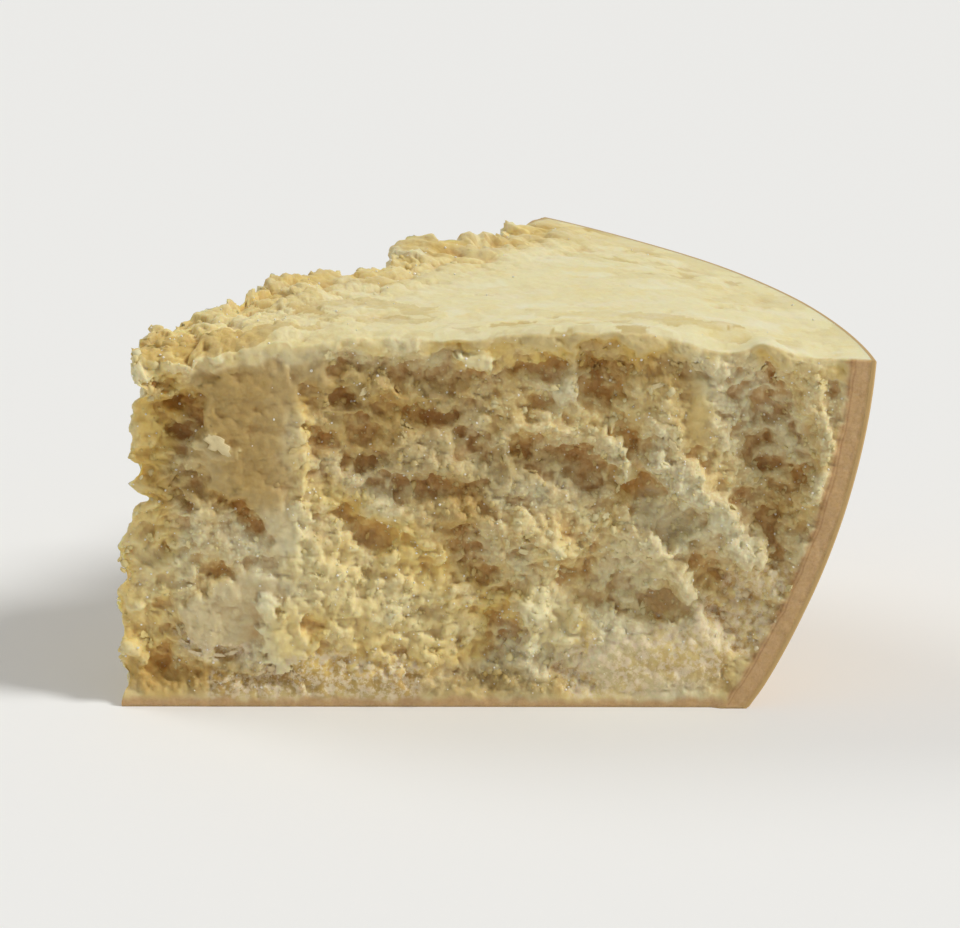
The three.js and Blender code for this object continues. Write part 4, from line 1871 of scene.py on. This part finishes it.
@dataclass(frozen=True)
class Rind:
    """The outer rind: a curved shell on the barrel side, pressed with a net and pricked with dots."""

    fracture: Fracture = Fracture()
    cells: tuple[int, int, int] = (2, 46, 27)
    fine_cuts: int = 7
    thickness: float = 1.5
    edge_round: float = 0.6
    plain_edge: float = 3.0
    cut_edge: tuple[float, float] = (0.3, 1.2)
    proud: float = 0.03
    wave_layers: Layers = ((0.12, 9, 9),)
    net_pitch: float = 2.7
    net_height: float = 0.1
    prick_radius: float = 1.15
    prick_depth: float = 0.55
    motif_columns: int = 8
    motif_rows: int = 4
    motif_half: tuple[float, float] = (7.0, 10.5)
    motif_start: float = 0.3
    dots_to_side: int = 4
    line_start: float = 8.0
    line_pitch: float = 3.6

    def dots(self) -> Array:
        """Places the pricked dots: plain lozenges in staggered columns, with dotted lines between.

        Returns:
            One row of distance round the rim and height for each dot.
        """
        wedge = self.fracture.wedge
        step = wedge.angle * wedge.wheel.radius / self.motif_columns
        rise_step = wedge.split_height / self.motif_rows
        lines = np.arange(self.line_start, wedge.split_height, self.line_pitch)
        out = []
        for column in range(self.motif_columns):
            s = (column + 0.5) * step
            stagger = 0.5 * (column % 2)
            for row in range(self.motif_rows):
                z = (row + self.motif_start + stagger) * rise_step
                out += [(s + ds, z + dz) for ds, dz in self.lozenge()]
            out += [(s + step / 2, z) for z in lines]
        return np.array(out)

    def lozenge(self) -> list[tuple[float, float]]:
        """Places one lozenge's dots round its middle."""
        half_s, half_z = self.motif_half
        out = []
        for corner in range(4):
            a, b = math.tau * corner / 4, math.tau * (corner + 1) / 4
            for t in np.arange(self.dots_to_side) / self.dots_to_side:
                ds = half_s * ((1 - t) * math.cos(a) + t * math.cos(b))
                dz = half_z * ((1 - t) * math.sin(a) + t * math.sin(b))
                out.append((ds, dz))
        return out

    def pricks(self, s: Array, z: Array) -> Array:
        """Gives how far into a pricked dot each place lies, from 0 to 1."""
        gap = np.full(len(s), np.inf)
        for dot_s, dot_z in self.dots():
            gap = np.minimum(gap, np.hypot(s - dot_s, z - dot_z))
        return 1 - rise(gap, 0.45 * self.prick_radius, self.prick_radius)

    def build(self, finish: RindFinish) -> bpy.types.Object:
        """Makes and dresses the rind.

        Args:
            finish: The rind's finish.

        Returns:
            The piece.
        """
        f = self.fracture
        wheel, wedge = f.wedge.wheel, f.wedge
        bm = box_grid(self.cells)
        refine(bm, {Side.RIND: (1, 2)}, self.fine_cuts)
        bmesh.ops.triangulate(bm, faces=[face for face in bm.faces if len(face.verts) > 4])
        mesh = new_mesh("cheese_rind", bm)
        unit = mesh_places(mesh)
        out, round_rim, up = unit.T
        turn = round_rim * wedge.angle
        rim = wheel.rind_radius(wedge.split_height * up)
        z = up * wedge.top_height(rim * np.cos(turn), rim * np.sin(turn))
        s, length, height = turn * wheel.radius, wedge.angle * wheel.radius, wedge.split_height
        to_edge = np.minimum.reduce([s, length - s, up * height, (1 - up) * height])
        outer = out > 0.99
        net = np.cos(math.tau * s / self.net_pitch) * np.cos(math.tau * z / self.net_pitch)
        prick = self.pricks(s, z)
        relief = self.net_height * net - self.prick_depth * prick
        relief = shifted(relief, 64, self.wave_layers, s, z) * rise(to_edge, 0, self.plain_edge)
        inset = np.clip(1 - to_edge / self.edge_round, 0, 1)
        relief = relief - self.edge_round * (1 - np.sqrt(1 - inset**2))
        r = wheel.rind_radius(z) + f.swelled(round_rim, z) - self.thickness * (1 - out)
        r = r + np.where(outer, relief, 0)
        y = r * np.sin(turn) - np.where(Side.FRONT.holds(unit), self.proud, 0)
        add_values(mesh, {
            "net": outer * net,
            "prick": outer * prick,
            "cut": np.where(outer, 1 - rise(to_edge, *self.cut_edge), 1.0),
        })
        move_mesh(mesh, to_part(np.stack([r * np.cos(turn), y, z + self.proud * up], axis=1)))
        mesh.polygons.foreach_set("use_smooth", [bool(outer[list(p.vertices)].all()) for p in mesh.polygons])
        return new_piece(mesh, finish.material())


@dataclass(frozen=True)
class Studio:
    """The plain floor, the soft light and the camera."""

    eye: tuple[float, float, float] = (-8.0, -1330.0, 432.0)
    aim: tuple[float, float, float] = (112.0, 80.0, 56.0)
    lens: float = 172.0
    floor_size: float = 6.0
    far_end: float = 50.0
    level_from: float = 0.0
    level_to: float = 189.0
    daylight: float = 0.36

    def floor(self) -> None:
        """Lays the floor."""
        bm = bmesh.new()
        bmesh.ops.create_grid(bm, x_segments=1, y_segments=1, size=self.floor_size)
        new_piece(new_mesh("floor", bm), FloorFinish().material())

    def lamp(self, name: str, place: Sequence[float], spread: float, power: float, tint: str) -> None:
        """Hangs a far soft lamp that faces the chunk and lights the whole floor evenly.

        Args:
            name: The lamp's name.
            place: The side that it shines from, in metres in the part's frame.
            spread: How wide it looks from the chunk, in degrees.
            power: Its power in watts to a square metre.
            tint: Its colour code.
        """
        light = bpy.data.lights.new(name, "SUN")
        light.angle = math.radians(spread)
        light.energy = power
        light.color = linear(tint)[:3]
        lamp = bpy.data.objects.new(name, light)
        lamp.location = place
        lamp.rotation_euler = (-Vector(place)).to_track_quat("-Z", "Y").to_euler()
        bpy.context.collection.objects.link(lamp)

    def light(self) -> None:
        """Lights the chunk from the upper right and behind, with a soft fill."""
        world = bpy.data.worlds.new("studio")
        world.use_nodes = True
        background = world.node_tree.nodes["Background"]
        background.inputs["Color"].default_value = (1.0, 1.0, 1.0, 1.0)
        background.inputs["Strength"].default_value = self.daylight
        bpy.context.scene.world = world
        self.lamp("key", (1.0, -0.3, 1.1), 18, 2.05, "fdfeff")
        self.lamp("fill", (-1.0, 0.7, 1.1), 30, 0.6, "fffefa")
        bpy.context.scene.view_settings.view_transform = "Standard"

    def camera(self) -> None:
        """Sets the camera, turned so that the foot of the front lies level."""
        data = bpy.data.cameras.new("camera")
        data.lens = self.lens
        data.clip_end = self.far_end
        camera = bpy.data.objects.new("camera", data)
        eye, aim = (Vector(to_part(np.array(place))) for place in (self.eye, self.aim))
        turn = (aim - eye).to_track_quat("-Z", "Y").to_matrix()
        ends = [Vector(to_part(np.array([x, 0.0, 0.0]))) - eye for x in (self.level_from, self.level_to)]
        seen = [turn.inverted() @ end for end in ends]
        left, right = ((p.x / -p.z, p.y / -p.z) for p in seen)
        tilt = math.atan2(right[1] - left[1], right[0] - left[0])
        camera.matrix_world = Matrix.Translation(eye) @ (turn @ Matrix.Rotation(tilt, 3, "Z")).to_4x4()
        bpy.context.collection.objects.link(camera)
        bpy.context.scene.camera = camera


def report(piece: bpy.types.Object) -> None:
    """Logs a piece's size in triangles."""
    triangles = sum(len(face.vertices) - 2 for face in piece.data.polygons)
    log.info("%s: %d triangles", piece.name, triangles)


def main() -> None:
    """Builds the chunk and its studio in order."""
    logging.basicConfig(level=logging.INFO, format="%(message)s")
    paste, ground = Paste().build(PasteFinish())
    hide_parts(NODE)
    pieces = [
        paste,
        Rind().build(RindFinish()),
        Crumbs("crumbs_front", Side.FRONT, 3200, 3, smallest=0.8, largest=2.4).build(ground, CrumbFinish()),
        Crumbs("crumbs_top", Side.TOP, 70, 4, smallest=1.6, largest=3.2).build(ground, CrumbFinish()),
        Crumbs("crumbs_back", Side.BACK, 900, 6, smallest=1.2, largest=3.2).build(ground, CrumbFinish()),
        Crumbs("crumbs_tip", Side.TIP, 360, 8, smallest=1.4, largest=3.8).build(ground, CrumbFinish()),
        Flakes().build(ground, CrumbFinish()),
        Crystals().build(ground, CrystalFinish()),
    ]
    for piece in pieces:
        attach(piece, BODY)
        report(piece)
    studio = Studio()
    studio.floor()
    studio.light()
    studio.camera()


if __name__ == "__main__":
    main()
